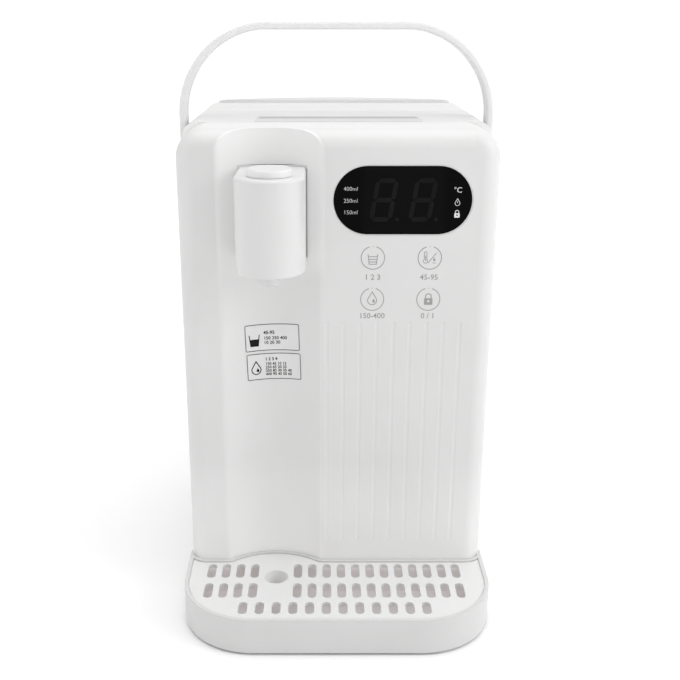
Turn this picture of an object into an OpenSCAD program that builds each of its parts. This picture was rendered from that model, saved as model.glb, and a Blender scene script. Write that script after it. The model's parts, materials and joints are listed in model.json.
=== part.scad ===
// Instant hot water dispenser for a worktop. A moulded front panel with a spout bay, display and
// drip tray stands in front of a housing with a swinging carry handle, and a lift-out water tank
// with a hinged lid stands on a dock behind it. Pump, flow meter and flow heater are inside.
// Millimetres, +Z up, the front faces -Y. The origin is on the table under the middle of the outline.

/* [Body] */
// Width of the body across its sides
body_w = 190; // [180:1:210]
// Height of the flat top above the table
body_top = 303; // [295:1:330]
// Depth of the front panel from its face to its rear edge
panel_depth = 42; // [38:1:60]
// Depth of the main housing
housing_depth = 68; // [64:1:90]
// Depth of the lid, from the housing to the ledge behind it
lid_depth = 78; // [72:1:100]
// Depth of the bowed ledge behind the lid, at its middle
rear_bow = 27; // [22:1:40]
// Radius of the bowed rear wall in plan
bow_r = 157; // [145:1:200]
// Wall thickness of the moulded shells
wall = 2.5; // [2:0.1:3]
// Rounding of the front panel's two top corners
panel_corner = 17; // [15:0.5:24]
// Rounding of the front panel's front edge
panel_fillet = 11; // [7:0.5:13]
// Rounding of the top corners of the housing and the lid
housing_corner = 8; // [6:0.5:12]
// Rounding of the upright rear corners
rear_corner = 14; // [10:0.5:18]
// Gap between neighbouring shells
seam = 0.4; // [0.3:0.1:0.6]

/* [Spout bay] */
// Place of the spout axis from the middle of the body
spout_x = -38.5; // [-41:0.5:-37]
// Distance of the spout axis in front of the panel face
spout_reach = 27; // [24:0.5:32]
// Place of the scooped bay's axis from the middle of the body
scoop_x = -39.7; // [-42:0.1:-38]
// Distance of the bay's axis in front of the panel face
scoop_reach = 34.8; // [33:0.1:37]
// Radius of the scooped bay behind the cup
scoop_r = 45.8; // [44:0.1:50]
// Rounding of the bay's two upright edges
scoop_lip = 5; // [4:0.5:8]
// Half width and nose radius of the spout housing
spout_r = 19.7; // [18:0.1:22]
// Height of the spout housing's underside
spout_bottom = 227; // [215:0.5:235]
// Height of the spout housing's top
spout_top = 281.2; // [275:0.1:288]
// Rounding of the spout housing's top edge
spout_edge = 2; // [1.5:0.1:3]
// Rounding of the spout housing's lower edge
spout_foot = 1; // [0.5:0.1:1.5]
// Wall thickness of the spout housing
spout_wall = 2; // [1.6:0.1:2.5]
// Radius of the raised plug on the spout housing
cap_r = 12.6; // [11:0.1:15]
// Height of the raised plug
cap_h = 4.2; // [3:0.1:6]
// Outer radius of the nozzle
nozzle_r = 5.5; // [5:0.1:7]
// Radius of the nozzle's bore
nozzle_bore = 3; // [2:0.1:3.5]
// How far the nozzle stands below the spout housing
nozzle_drop = 7.6; // [4:0.1:8]
// Gap round the spout housing where it passes through the bay's wall
spout_slit = 0.8; // [0.5:0.1:1.2]
// Thickness of the rubber gasket behind the bay's wall
gasket_t = 2; // [1.5:0.1:2.5]

/* [Display and keys] */
// Width of the display window
window_w = 81; // [70:0.5:84]
// Height of the display window
window_h = 40.2; // [36:0.1:42]
// Middle of the window from the middle of the body
window_x = 37.8; // [36:0.1:42]
// Height of the middle of the window
window_z = 262.5; // [258:0.1:265]
// Width of the step round the display window
window_step = 0.7; // [0.4:0.1:1]
// Distance of the upper keys below the middle of the window
key_drop = 34.2; // [33:0.1:38]
// Distance between the keys side to side
key_pitch_x = 33.8; // [30:0.1:36]
// Distance between the upper and lower keys
key_pitch_z = 25.6; // [24:0.1:28]
// Distance from the panel face to the display board
board_setback = 12; // [11:0.5:16]

/* [Fluting] */
// Number of upright grooves beside the bay
groove_count = 9; // [7:1:9]
// Distance between grooves
groove_pitch = 10.1; // [8:0.1:10.5]
// Middle of the grooved field from the middle of the body
groove_x = 34; // [34:0.5:38]
// Height of the grooves' lower end
groove_bottom = 38.5; // [34:0.5:60]
// Height of the grooves' upper end
groove_top = 188.4; // [150:0.2:190]
// Radius of a groove's round section
groove_r = 2; // [1.5:0.1:3]
// Depth of a groove
groove_depth = 0.4; // [0.3:0.1:1.2]

/* [Drip tray] */
// Width of the drip tray
tray_w = 193; // [192:0.5:196]
// How far the tray reaches in front of the panel face
tray_reach = 69; // [67:1:90]
// Height of the tray's rim above the table
tray_top = 24.4; // [22:0.2:30]
// Radius of the tray's front corners in plan
tray_corner = 46; // [30:1:52]
// Thickness of the tray's walls
tray_rim = 2.4; // [2:0.1:3]
// Thickness of the tray's floor
tray_floor = 2; // [1.6:0.1:3]
// Height of the skids under the tray
skid_h = 1.6; // [1:0.1:2]
// Gap between the tray and the panel behind it
tray_gap = 0.6; // [0.4:0.1:1]
// Width of a locating tongue on the tray
tongue_w = 8; // [5:0.5:8]
// Length of a tongue behind the panel face
tongue_reach = 12; // [10:0.5:16]
// Thickness of a tongue
tongue_t = 4; // [3:0.5:5]
// Thickness of the grate
grate_t = 2.4; // [2:0.1:3]
// Depth of the grate's face below the tray's rim
grate_drop = 0.7; // [0.4:0.1:1]
// Gap round the grate
grate_gap = 0.4; // [0.3:0.1:0.6]
// Width of a drain slot
slot_w = 5.4; // [4:0.1:6]
// Distance between slots in the two full rows
slot_pitch = 9.27; // [8.6:0.01:9.4]
// Distance between slots in the front row
front_slot_pitch = 10.17; // [9:0.01:10.4]
// Length of the slots in the first and second rows
slot_len = 16; // [12:0.1:16.5]
// Length of the slots in the front row
front_slot_len = 12.4; // [9:0.1:12.6]
// Middle of the rows of slots from the middle of the body
slot_x = -1.6; // [-2.5:0.1:0]
// Distance of the first row of slots from the panel face
first_row = 13.5; // [13.2:0.1:15]
// Distance of the second row of slots from the panel face
second_row = 35.9; // [34:0.1:36.5]
// Distance of the front row of slots from the tray's front edge
front_row = 14.1; // [11.5:0.1:14.3]
// Distance of the drip funnel from the panel face
funnel_row = 20.5; // [18:0.5:24]
// Radius of the drip funnel's mouth under the nozzle
funnel_r = 7.6; // [6:0.1:8]
// Radius of the funnel's drain hole
funnel_bore = 5; // [3:0.1:5.5]
// Depth of the funnel below the grate's face
funnel_depth = 9; // [6:0.5:11]
// Wall thickness of the funnel
funnel_wall = 1.4; // [1:0.1:1.8]

/* [Handle] */
// Distance of the handle's plane behind the panel face
handle_setback = 79; // [76:0.5:84]
// Height of the upright handle above the table
handle_top = 361; // [352:1:385]
// Thickness of the handle strap
handle_t = 4.4; // [4:0.1:6]
// Width of the handle strap front to back
handle_d = 16; // [12:0.5:20]
// Rounding of the strap's edges
handle_edge = 1.4; // [0.8:0.1:1.8]
// Outer radius of the handle's two bends
handle_corner = 57; // [40:1:58]
// Gap between the handle and the body's side
handle_gap = 1.2; // [1:0.1:2]
// Distance of the pivots below the flat top
pivot_drop = 37; // [35:0.5:50]
// Radius of the round eye at the end of each arm
eye_r = 12; // [10:0.5:14]
// Radius of a pivot pin
pin_r = 4; // [3:0.1:5]
// Radial clearance of the pivot pin in the eye
pin_clear = 0.06; // [0.02:0.01:0.1]

/* [Tank and lid] */
// Height of the dock that the tank stands on
dock_top = 62; // [58:1:75]
// Wall thickness of the tank
tank_wall = 2.6; // [2:0.1:3.2]
// Gap under the standing tank
tank_rest = 0.3; // [0.2:0.1:0.5]
// Height of the lid's skirt
lid_skirt = 10; // [9:0.5:14]
// Thickness of the lid
lid_t = 2.5; // [2:0.1:3]
// Height of the ledge behind the lid above the lid
ledge_rise = 2; // [1:0.1:3]
// Rounding of the ledge's rear edge
ledge_edge = 3; // [2:0.5:5]
// Radius of the lid's hinge barrel
barrel_r = 2.5; // [2.2:0.1:3]
// Radius of the lid's hinge pin
hinge_pin_r = 1; // [0.8:0.1:1.2]
// Half length of the lid's hinge pin
hinge_half = 64; // [55:1:70]
// Width of a hinge lug on the tank
lug_w = 9; // [7:0.5:12]
// Depth of the valve well in the dock
well_depth = 16; // [15.5:0.5:18]
// Radius of the valve well
well_r = 19; // [18:0.5:22]

/* [Water path] */
// Distance of the tank valve and the pump from the body's side
valve_inset = 45; // [41:0.5:47]
// Distance of the tank valve behind the housing
valve_setback = 40; // [34:0.5:46]
// Height of the hose ports above the base pan
port_rise = 13; // [12.5:0.1:14]
// Outer radius of the hoses
hose_r = 5; // [4.5:0.1:5.5]
// Bore radius of the hoses
hose_bore = 3.2; // [3:0.1:3.6]
// Radial clearance of a spigot in its hose
spigot_clear = 0.1; // [0.05:0.05:0.2]
// Bend radius of the hoses
hose_bend = 15; // [12:0.5:15]
// Length of a hose spigot
spigot_len = 7; // [5:0.5:7]
// Radius of the pump's head
pump_r = 19; // [17:0.5:20]
// Height of the pump's head
pump_h = 17; // [16:0.5:20]
// Radius of the pump's motor
motor_r = 13; // [11:0.5:14]
// Height of the pump's motor
motor_h = 34; // [28:1:40]
// Radius of the flow meter
meter_r = 11; // [9:0.5:12]
// Height of the flow meter
meter_h = 16; // [14:0.5:18]
// Radius of the flow heater's tube
heater_r = 23; // [20:0.5:24]
// Distance of the heater's top below the outlet pipe
heater_drop = 37; // [35:0.5:42]
// Length of the heater with its end caps
heater_len = 130; // [110:1:134]
// Height of a heater end cap
heater_cap_h = 10; // [8:0.5:12]
// Distance of the heater and pump axes behind the panel face
heater_setback = 65; // [62:0.5:70]
// Distance of the outlet pipe below the spout housing's top
pipe_drop = 21; // [19:0.5:24]
// Outer radius of the outlet pipe in the spout
pipe_r = 4; // [3.5:0.1:4.5]

/* [Base] */
// Height of the rubber feet
foot_h = 3; // [2.5:0.1:5]
// Radius of the rubber feet
foot_r = 9; // [7:0.5:11]
// Thickness of the base pan
pan_t = 2.5; // [2:0.1:3.5]
// Radius of the screw posts in the shells
post_r = 4; // [3.5:0.1:5]
// Radius of the case screws
screw_r = 1.5; // [1.2:0.1:1.8]
// Place of the cord gland from the middle of the body
gland_x = -40; // [-50:1:-30]
// Radius of the gland's cord bore
gland_bore = 3.6; // [3:0.1:4]

/* [Hidden] */
$fn = 96;

// Colours of the materials
white_abs = [0.93, 0.93, 0.93];
smoke_clear = [0.75, 0.79, 0.82, 0.6];
black_gloss = [0.03, 0.03, 0.035];
rubber_grey = [0.22, 0.22, 0.23];
silicone = [0.85, 0.87, 0.86];
steel = [0.72, 0.73, 0.75];
board_green = [0.1, 0.35, 0.2];
black_plastic = [0.1, 0.1, 0.11];

// Small overshoot of a cut past the face that it opens
cut = 1;
// Gap of a piece that rests on or sits in another fixed piece
seat = 0.1;

// Tank valve from the middle of the body
valve_x = body_w / 2 - valve_inset;

// Places along the depth of the body
body_depth = panel_depth + housing_depth + lid_depth + rear_bow;
front_y = (tray_reach - body_depth) / 2;
panel_y1 = front_y + panel_depth;
housing_y0 = panel_y1 + seam;
housing_y1 = panel_y1 + housing_depth;
ledge_y = housing_y1 + lid_depth;
rear_y = ledge_y + rear_bow;

// Heights of the base and shells
pan_z1 = foot_h + pan_t;
shell_z0 = pan_z1 + seat;

// Bowed rear wall and the round corners that run into it
bow_cy = rear_y - bow_r;
rear_corner_x = body_w / 2 - rear_corner;
rear_corner_y = bow_cy + sqrt(pow(bow_r - rear_corner, 2) - pow(rear_corner_x, 2));
function rear_wall_y(x) = bow_cy + sqrt(pow(bow_r, 2) - pow(x, 2));

// Spout, and the bay in plan about its own axis
spout_y = front_y - spout_reach;
spout_h = spout_top - spout_bottom;
scoop_y = front_y - scoop_reach;
lip_y = scoop_reach + scoop_lip;
scoop_mouth = sqrt(pow(scoop_r + scoop_lip, 2) - pow(lip_y, 2));
scoop_depth = scoop_r - scoop_reach;
pipe_z = spout_top - pipe_drop;
pipe_bend = 12;
pipe_bore = nozzle_bore - 0.4;
nozzle_flange_r = nozzle_r + 3.5;
nozzle_flange_t = 2;
nozzle_top = spout_bottom + spout_wall + nozzle_flange_t + 6;
pipe_y1 = front_y + scoop_depth + wall + spigot_len;
gasket_r = scoop_r + wall + seat;
gasket_lap = 5;
root_y1 = scoop_y + gasket_r + gasket_t + 0.5;

// Screw posts along the two sides
post_bite = 1;
post_x = body_w / 2 - wall - post_r + post_bite;
post_h = 22;
panel_post_y = panel_y1 - 12;
post_setback = 30;
housing_post_y = housing_y1 - post_setback;
dock_post_y = housing_y1 + post_setback;
post_ys = [panel_post_y, housing_post_y, dock_post_y];
pilot_r = screw_r + seat;
screw_head_r = screw_r + 1.4;
screw_head_t = 1.2;
screw_reach = 14;

// Display, keys and their board
window_gap = 0.15;
window_sink = 0.2;
window_step_depth = 0.35;
flange_w = 2.5;
flange_t = 1.2;
board_t = 1.6;
board_y = front_y + board_setback;
board_w = window_w + 7;
keys_z = window_z - key_drop - key_pitch_z / 2;
board_z0 = window_z - key_drop - key_pitch_z - 13;
board_z1 = window_z + window_h / 2 + 4.5;
standoff_r = 2.6;
standoff_inset = 4;
spring_r = 5.2;
spring_wall = 0.8;
digit_w = 52;
digit_h = 26;

// Handle and its pivots
handle_y = front_y + handle_setback;
pivot_z = body_top - pivot_drop;
handle_in_x = body_w / 2 + handle_gap;
handle_out_x = handle_in_x + handle_t;
pivot_boss_r = eye_r - 1;
pivot_boss_h = handle_gap - 0.3;
pin_head_r = pin_r + 3;
pin_head_t = 1.5;
pin_reach = 12;

// Tray, tongues and grate
tongue_x = body_w / 2 - panel_fillet - tongue_w / 2;
tongue_z = shell_z0 + 8;
tongue_clear = 0.5;
tray_z0 = skid_h;
floor_z = tray_z0 + tray_floor;
grate_z1 = tray_top - grate_drop;
grate_z0 = grate_z1 - grate_t;
shelf_w = 2.2;
first_row_y = front_y - first_row;
second_row_y = front_y - second_row;
front_row_y = front_y - tray_reach + front_row;
funnel_y = front_y - funnel_row;
slot_columns = 18;
front_columns = 12;
funnel_keepout = funnel_r + funnel_wall + slot_w / 2;

// Tank, lid and hinge
tank_y0 = housing_y1 + 0.6;
tank_z0 = dock_top + tank_rest;
rim_z = body_top - lid_skirt - tank_rest;
ledge_z = body_top + ledge_rise;
ledge_y0 = ledge_y + 0.5;
lid_y0 = tank_y0 + 0.2;
hinge_y = ledge_y - barrel_r - 0.5;
hinge_z = body_top - barrel_r;
hinge_clear = 0.06;
lug_gap = 0.4;
lug_x = hinge_half - lug_w;
lid_corner_x = body_w / 2 - housing_corner - lid_t;
hinge_bar_y = hinge_y + 0.5;
hinge_bar_z = hinge_z - barrel_r - lug_gap;
mouth_y1 = hinge_y - barrel_r - 1;
rim_flange = 5;
seal_t = 4;
seal_inset = tank_wall + 2;

// Tank valve, well and coupling
valve_y = housing_y1 + valve_setback;
well_wall = 2;
deck_t = 3;
well_floor_z = dock_top - well_depth;
neck_r = 10;
neck_bore = 7.4;
valve_skirt_r = neck_r + 3.6;
valve_z0 = well_floor_z + 4;
valve_plate = 2;
valve_seat_r = 5;
neck_z0 = valve_z0 + valve_plate + seat;
poppet_lift = 3;
poppet_t = 2;
poppet_z0 = valve_z0 + valve_plate + poppet_lift;
tank_floor_z = tank_z0 + tank_wall;
strainer_h = 12;
coupling_t = 2;
seal_ring_t = 1.7;

// Pump, meter, heater and hoses
work_y = front_y + heater_setback;
port_z = pan_z1 + port_rise;
mount_h = port_rise - pump_h / 2;
spigot_r = hose_bore - spigot_clear;
spigot_bore = spigot_r - 1;
hose_lead = 1;
meter_x = (valve_x - pump_r + spout_x + hose_bend) / 2 - 1.75;
heater_top = pipe_z - heater_drop;
heater_bottom = heater_top - heater_len;
heater_cap_r = heater_r + 2;
clamp_t = 2.5;
clamp_h = 12;
clamp_spread = heater_len / 4;
sensor_r = 2.4;
sensor_len = 20;
sensor_depth = 10;

// Power board on the housing's bulkhead
power_w = 78;
power_h = 120;
power_x = body_w / 2 - wall - power_w / 2 - 8;
power_z = heater_bottom + heater_len / 2;
power_standoff = 8;
power_y = housing_y1 - wall - power_standoff - board_t;
relay_size = [19, 15, 16];
relay_xs = [-24, 4];
relay_drop = 32;
relay_z = power_h / 2 - relay_drop;
supply_size = [30, 20, 24];
supply_x = -30;
lower_z = 14 - power_h / 2;
fin_count = 4;
fin_pitch = 6;
fin_size = [2, 18, 40];
fin_x = 12;
sink_t = 3;
capacitor_xs = [-20, -4];
capacitor_r = 6;
capacitor_h = 20;
capacitor_z = relay_z - 20;

// Cord gland in the rear wall of the dock
gland_z = pan_z1 + 20;
gland_flange_r = 9;
gland_flange_t = 2.5;
gland_body_r = 6;
gland_pocket_r = gland_flange_r + 3;
gland_sink = 6;
gland_pocket_y = rear_wall_y(gland_x) - gland_sink;

// Outlines and sweeps

// Extrudes a front elevation, drawn in X and Z, from y0 to y1
module along_y(y0, y1) {
    translate([0, y1, 0]) rotate([90, 0, 0]) linear_extrude(y1 - y0) children();
}

// Extrudes a side elevation, drawn in Y and Z, from x0 to x1
module along_x(x0, x1) {
    translate([x0, 0, 0]) rotate([90, 0, 90]) linear_extrude(x1 - x0) children();
}

// Extrudes a plan from z0 to z1
module along_z(z0, z1) {
    translate([0, 0, z0]) linear_extrude(z1 - z0) children();
}

// Repeats a piece on both sides of the body's middle plane
module both_sides() {
    children();
    mirror([1, 0, 0]) children();
}

module rounded_rect(w, h, r) {
    square([w, h - 2 * r], center = true);
    square([w - 2 * r, h], center = true);
    for (sx = [-1, 1], sy = [-1, 1])
        translate([sx * (w / 2 - r), sy * (h / 2 - r)]) circle(r);
}

// Slot with round ends that runs along X
module stadium(w, h) {
    square([w - h, h], center = true);
    for (s = [-1, 1]) translate([s * (w - h) / 2, 0]) circle(h / 2);
}

// Upright outline with two round top corners
module arch_outline(w, z0, z1, r) {
    translate([-w / 2, z0]) square([w, z1 - r - z0]);
    translate([-w / 2 + r, z0]) square([w - 2 * r, z1 - z0]);
    for (s = [-1, 1]) translate([s * (w / 2 - r), z1 - r]) circle(r);
}

// Band of width w and depth d whose outer front edge is rounded by r
module edge_profile(w, d, r) {
    difference() {
        translate([0, -d]) square([w, d]);
        difference() {
            translate([w - r, -r]) square([r + cut, r + cut]);
            translate([w - r, -r]) circle(r);
        }
    }
}

// Upright block with round top corners whose front edge is rounded all the way round
module soft_block(w, z0, z1, y0, y1, corner, fillet) {
    cx = w / 2 - corner;
    cz = z1 - corner;
    translate([-cx, y0, z0]) cube([2 * cx, y1 - y0, cz - z0]);
    translate([-cx, y0, cz]) rotate([90, 0, 90]) linear_extrude(2 * cx)
        rotate(90) edge_profile(corner, y1 - y0, fillet);
    both_sides() {
        translate([cx, y0, z0]) linear_extrude(cz - z0)
            mirror([0, 1]) edge_profile(corner, y1 - y0, fillet);
        translate([cx, y0, cz]) rotate([90, 0, 0]) rotate_extrude(angle = 90)
            edge_profile(corner, y1 - y0, fillet);
    }
}

// Plan of the scooped bay, shrunk by grow so that a neighbour keeps that gap
module scoop_plan(grow) {
    translate([scoop_x, scoop_y]) {
        circle(scoop_r - grow);
        difference() {
            translate([-scoop_mouth, 0])
                square([2 * scoop_mouth, lip_y * (scoop_r - grow) / (scoop_r + scoop_lip)]);
            for (s = [-1, 1]) translate([s * scoop_mouth, lip_y]) circle(scoop_lip + grow);
        }
    }
}

// Plan of the panel's front with its round corners and bay, grown all round by grow
module front_plan(grow) {
    r = panel_fillet + grow;
    half = body_w / 2 + grow;
    difference() {
        union() {
            translate([-half, front_y - grow + r]) square([2 * half, panel_depth - r + grow]);
            translate([-half + r, front_y - grow]) square([2 * (half - r), panel_depth + grow]);
            for (s = [-1, 1]) translate([s * (half - r), front_y - grow + r]) circle(r);
        }
        scoop_plan(grow);
    }
}

// Plan of the tank and dock behind y0 with the bowed rear wall, shrunk by inset
module rear_plan(inset, y0) {
    half = body_w / 2 - inset;
    tangent_x = rear_corner_x * (bow_r - inset) / (bow_r - rear_corner);
    translate([-half, y0]) square([2 * half, rear_corner_y - y0]);
    for (s = [-1, 1]) translate([s * rear_corner_x, rear_corner_y]) circle(rear_corner - inset);
    intersection() {
        translate([0, bow_cy]) circle(bow_r - inset);
        translate([-tangent_x, y0]) square([2 * tangent_x, rear_y - y0]);
    }
}

// Plan of the drip tray, shrunk by inset, with its rear edge on the panel's front
module tray_plan(inset) {
    half = tray_w / 2 - inset;
    r = tray_corner - inset;
    y0 = front_y - tray_reach + inset;
    difference() {
        union() {
            translate([-half, y0 + r]) square([2 * half, tray_reach + panel_fillet - tray_corner]);
            translate([-half + r, y0]) square([2 * (half - r), tray_reach + scoop_depth]);
            for (s = [-1, 1]) translate([s * (half - r), y0 + r]) circle(r);
        }
        front_plan(tray_gap + inset);
    }
}

// Screw posts that stand on both side walls of a shell
module side_posts(y) {
    both_sides() translate([post_x, y, shell_z0]) cylinder(r = post_r, h = post_h);
}

module side_pilots(y) {
    both_sides() translate([post_x, y, shell_z0 - cut]) cylinder(r = pilot_r, h = post_h - wall + cut);
}

// Tube along +Z from the origin
module tube(r, bore, len) {
    difference() {
        cylinder(r = r, h = len);
        translate([0, 0, -cut]) cylinder(r = bore, h = len + 2 * cut);
    }
}

// Quarter bend of a tube in the XY plane about the origin, from the angle a to a + 90
module bend(r, bore, bend_r, a) {
    rotate(a) rotate_extrude(angle = 90) translate([bend_r, 0]) difference() {
        circle(r);
        circle(bore);
    }
}

// Shells

module panel_block(inset) {
    soft_block(body_w - 2 * inset, shell_z0 - inset, body_top - inset, front_y + inset,
        panel_y1 + inset, panel_corner - inset, panel_fillet - inset);
}

module panel_shell() {
    difference() {
        panel_block(0);
        panel_block(wall);
    }
    intersection() {
        panel_block(0);
        translate([scoop_x, scoop_y, shell_z0]) cylinder(r = scoop_r + wall, h = body_top - shell_z0);
    }
}

module display_standoffs() {
    for (sx = [-1, 1], z = [board_z0 + standoff_inset, board_z1 - standoff_inset])
        translate([window_x + sx * (board_w / 2 - standoff_inset), board_y - seat, z])
            rotate([90, 0, 0]) cylinder(r = standoff_r, h = board_setback - seat - wall / 2);
}

module front_panel() color(white_abs) {
    difference() {
        union() {
            panel_shell();
            side_posts(panel_post_y);
            display_standoffs();
        }
        along_z(shell_z0 - cut, body_top + cut) scoop_plan(0);
        side_pilots(panel_post_y);
        along_y(front_y - cut, front_y + wall + cut) translate([window_x, window_z])
            stadium(window_w, window_h);
        along_y(front_y - cut, front_y + window_step_depth) translate([window_x, window_z])
            stadium(window_w + 2 * window_step, window_h + 2 * window_step);
        for (k = [0 : groove_count - 1])
            translate([groove_x + (k - (groove_count - 1) / 2) * groove_pitch,
                    front_y - groove_r + groove_depth, groove_bottom])
                cylinder(r = groove_r, h = groove_top - groove_bottom);
        translate([spout_x - spout_r - spout_slit, front_y, spout_bottom - spout_slit])
            cube([2 * (spout_r + spout_slit), scoop_depth + wall + cut, spout_h + 2 * spout_slit]);
        both_sides() translate([tongue_x - tongue_w / 2 - tongue_clear, front_y - cut, tongue_z - tongue_clear])
            cube([tongue_w + 2 * tongue_clear, wall + 2 * cut, tongue_t + 2 * tongue_clear]);
    }
}

module housing_outline(inset) {
    arch_outline(body_w - 2 * inset, shell_z0 - inset, body_top - inset, housing_corner - inset);
}

module pivot_bosses() {
    both_sides() {
        translate([body_w / 2 - wall, handle_y, pivot_z]) rotate([0, 90, 0])
            cylinder(r = pivot_boss_r, h = wall + pivot_boss_h);
        translate([body_w / 2 - wall / 2 - pin_reach, handle_y, pivot_z]) rotate([0, 90, 0])
            cylinder(r = pin_r + 3, h = pin_reach);
    }
}

module power_standoffs() {
    for (sx = [-1, 1], sz = [-1, 1])
        translate([power_x + sx * (power_w / 2 - standoff_inset), power_y + board_t + seat,
                power_z + sz * (power_h / 2 - standoff_inset)])
            rotate([-90, 0, 0]) cylinder(r = standoff_r, h = power_standoff - seat + wall / 2);
}

module main_housing() color(white_abs) {
    frame_w = panel_corner * 0.5;
    difference() {
        union() {
            along_y(housing_y0, housing_y1) difference() {
                housing_outline(0);
                housing_outline(wall);
            }
            along_y(housing_y0, housing_y0 + wall) difference() {
                housing_outline(0);
                arch_outline(body_w - 2 * frame_w, shell_z0 - cut, body_top - frame_w, panel_corner);
            }
            along_y(housing_y1 - wall, housing_y1) intersection() {
                housing_outline(0);
                translate([-body_w / 2, dock_top]) square([body_w, body_top - dock_top]);
            }
            side_posts(housing_post_y);
            pivot_bosses();
            power_standoffs();
        }
        side_pilots(housing_post_y);
        both_sides() translate([body_w / 2 - pin_reach, handle_y, pivot_z]) rotate([0, 90, 0])
            cylinder(r = pin_r + seat / 2, h = pin_reach + pivot_boss_h + cut);
    }
}

module pan_plan(inset) {
    front_plan(-inset);
    translate([-body_w / 2 + inset, panel_y1 - inset]) square([body_w - 2 * inset, housing_depth + 2 * inset]);
    rear_plan(inset, housing_y1);
}

foot_inset = 26;
rear_foot_inset = 6;
foot_ys = [front_y + foot_inset, rear_corner_y - rear_foot_inset];
foot_x = body_w / 2 - foot_inset;
foot_stem_r = 3.5;

module base_pan() color(white_abs) {
    vent_count = 9;
    vent_pitch = 7;
    vent_len = 30;
    vent_w = 3;
    difference() {
        along_z(foot_h, pan_z1) pan_plan(1);
        for (y = post_ys) both_sides() translate([post_x, y, foot_h]) {
            translate([0, 0, -cut]) cylinder(r = screw_r + seat, h = pan_t + 2 * cut);
            translate([0, 0, -cut]) cylinder(r = screw_head_r + seat, h = cut + screw_head_t + seat);
        }
        for (y = foot_ys) both_sides() translate([foot_x, y, foot_h - cut])
            cylinder(r = foot_stem_r + seat, h = pan_t + 2 * cut);
        for (k = [0 : vent_count - 1])
            translate([(k - (vent_count - 1) / 2) * vent_pitch, housing_y1 - 12, foot_h - cut])
                linear_extrude(pan_t + 2 * cut) rotate(90) stadium(vent_len, vent_w);
    }
}

module gland_boss(r, y0) {
    translate([gland_x, y0, gland_z]) rotate([-90, 0, 0]) cylinder(r = r, h = rear_y - y0 + cut);
}

module tank_dock() color(white_abs) {
    vent_count = 8;
    vent_pitch = 6;
    vent_len = 26;
    vent_w = 2.6;
    difference() {
        union() {
            difference() {
                along_z(shell_z0, dock_top) rear_plan(0, housing_y1 + seam);
                along_z(shell_z0 - cut, dock_top - deck_t) rear_plan(wall, housing_y1 - cut);
            }
            translate([valve_x, valve_y, well_floor_z - well_wall])
                cylinder(r = well_r + well_wall, h = well_depth + well_wall);
            side_posts(dock_post_y);
            intersection() {
                along_z(shell_z0, dock_top) rear_plan(0, housing_y1 + seam);
                gland_boss(gland_pocket_r + wall, gland_pocket_y - wall);
            }
        }
        side_pilots(dock_post_y);
        translate([valve_x, valve_y, well_floor_z]) cylinder(r = well_r, h = well_depth + cut);
        translate([valve_x, valve_y, well_floor_z - well_wall - cut])
            cylinder(r = hose_r + 1.4, h = well_wall + 2 * cut);
        gland_boss(gland_pocket_r, gland_pocket_y);
        gland_boss(gland_body_r + seat, gland_pocket_y - wall - cut);
        for (k = [0 : vent_count - 1])
            along_y(rear_corner_y, rear_y + cut)
                translate([-gland_x / 2 + k * vent_pitch, dock_top / 2]) rotate(90) stadium(vent_len, vent_w);
    }
}

// Handle

module strap_section() {
    rounded_rect(handle_t, handle_d, handle_edge);
}

module handle_bail() color(white_abs) {
    bend_x = handle_out_x - handle_corner;
    bend_z = handle_top - handle_corner;
    difference() {
        union() {
            along_x(-bend_x, bend_x) translate([handle_y, handle_top - handle_t / 2]) rotate(90) strap_section();
            both_sides() {
                translate([handle_out_x - handle_t / 2, handle_y, pivot_z])
                    linear_extrude(bend_z - pivot_z) strap_section();
                translate([bend_x, handle_y, bend_z]) rotate([90, 0, 0]) rotate_extrude(angle = 90)
                    translate([handle_corner - handle_t / 2, 0]) strap_section();
                translate([handle_in_x, handle_y, pivot_z]) rotate([0, 90, 0]) cylinder(r = eye_r, h = handle_t);
            }
        }
        both_sides() translate([handle_in_x - cut, handle_y, pivot_z]) rotate([0, 90, 0]) {
            cylinder(r = pin_r + pin_clear, h = handle_t + 2 * cut);
            translate([0, 0, cut + handle_t - pin_head_t - 0.2]) cylinder(r = pin_head_r + 0.3, h = pin_head_t + cut);
        }
    }
}

module handle_pins() color(white_abs) {
    both_sides() translate([0, handle_y, pivot_z]) rotate([0, 90, 0]) {
        translate([0, 0, body_w / 2 - pin_reach]) cylinder(r = pin_r, h = handle_out_x - body_w / 2 + pin_reach);
        translate([0, 0, handle_out_x - pin_head_t]) cylinder(r = pin_head_r, h = pin_head_t);
    }
}

// Spout

// Half section of the spout housing, with its upper and lower edges rounded
module spout_section(inset) {
    h = spout_h - 2 * inset;
    intersection() {
        edge_profile(spout_r - inset, h, spout_edge - inset / 2);
        translate([0, -h]) mirror([0, 1]) edge_profile(spout_r - inset, h, spout_foot - inset / 4);
    }
}

// Spout block with a half-round nose, running back to y1
module spout_block(inset, y1) {
    translate([spout_x, spout_y, spout_top - inset]) rotate(180) rotate_extrude(angle = 180) spout_section(inset);
    along_y(spout_y, y1) translate([spout_x, spout_top - inset]) {
        spout_section(inset);
        mirror([1, 0]) spout_section(inset);
    }
}

cap_stem_r = cap_r - 4;

module spout_housing() color(white_abs) {
    difference() {
        spout_block(0, root_y1);
        spout_block(spout_wall, root_y1 + cut);
        translate([spout_x, spout_y, spout_bottom - cut]) cylinder(r = nozzle_r + seat, h = spout_wall + 2 * cut);
        translate([spout_x, spout_y, spout_top - spout_wall - cut])
            cylinder(r = cap_stem_r + seat, h = spout_wall + 2 * cut);
    }
}

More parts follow.
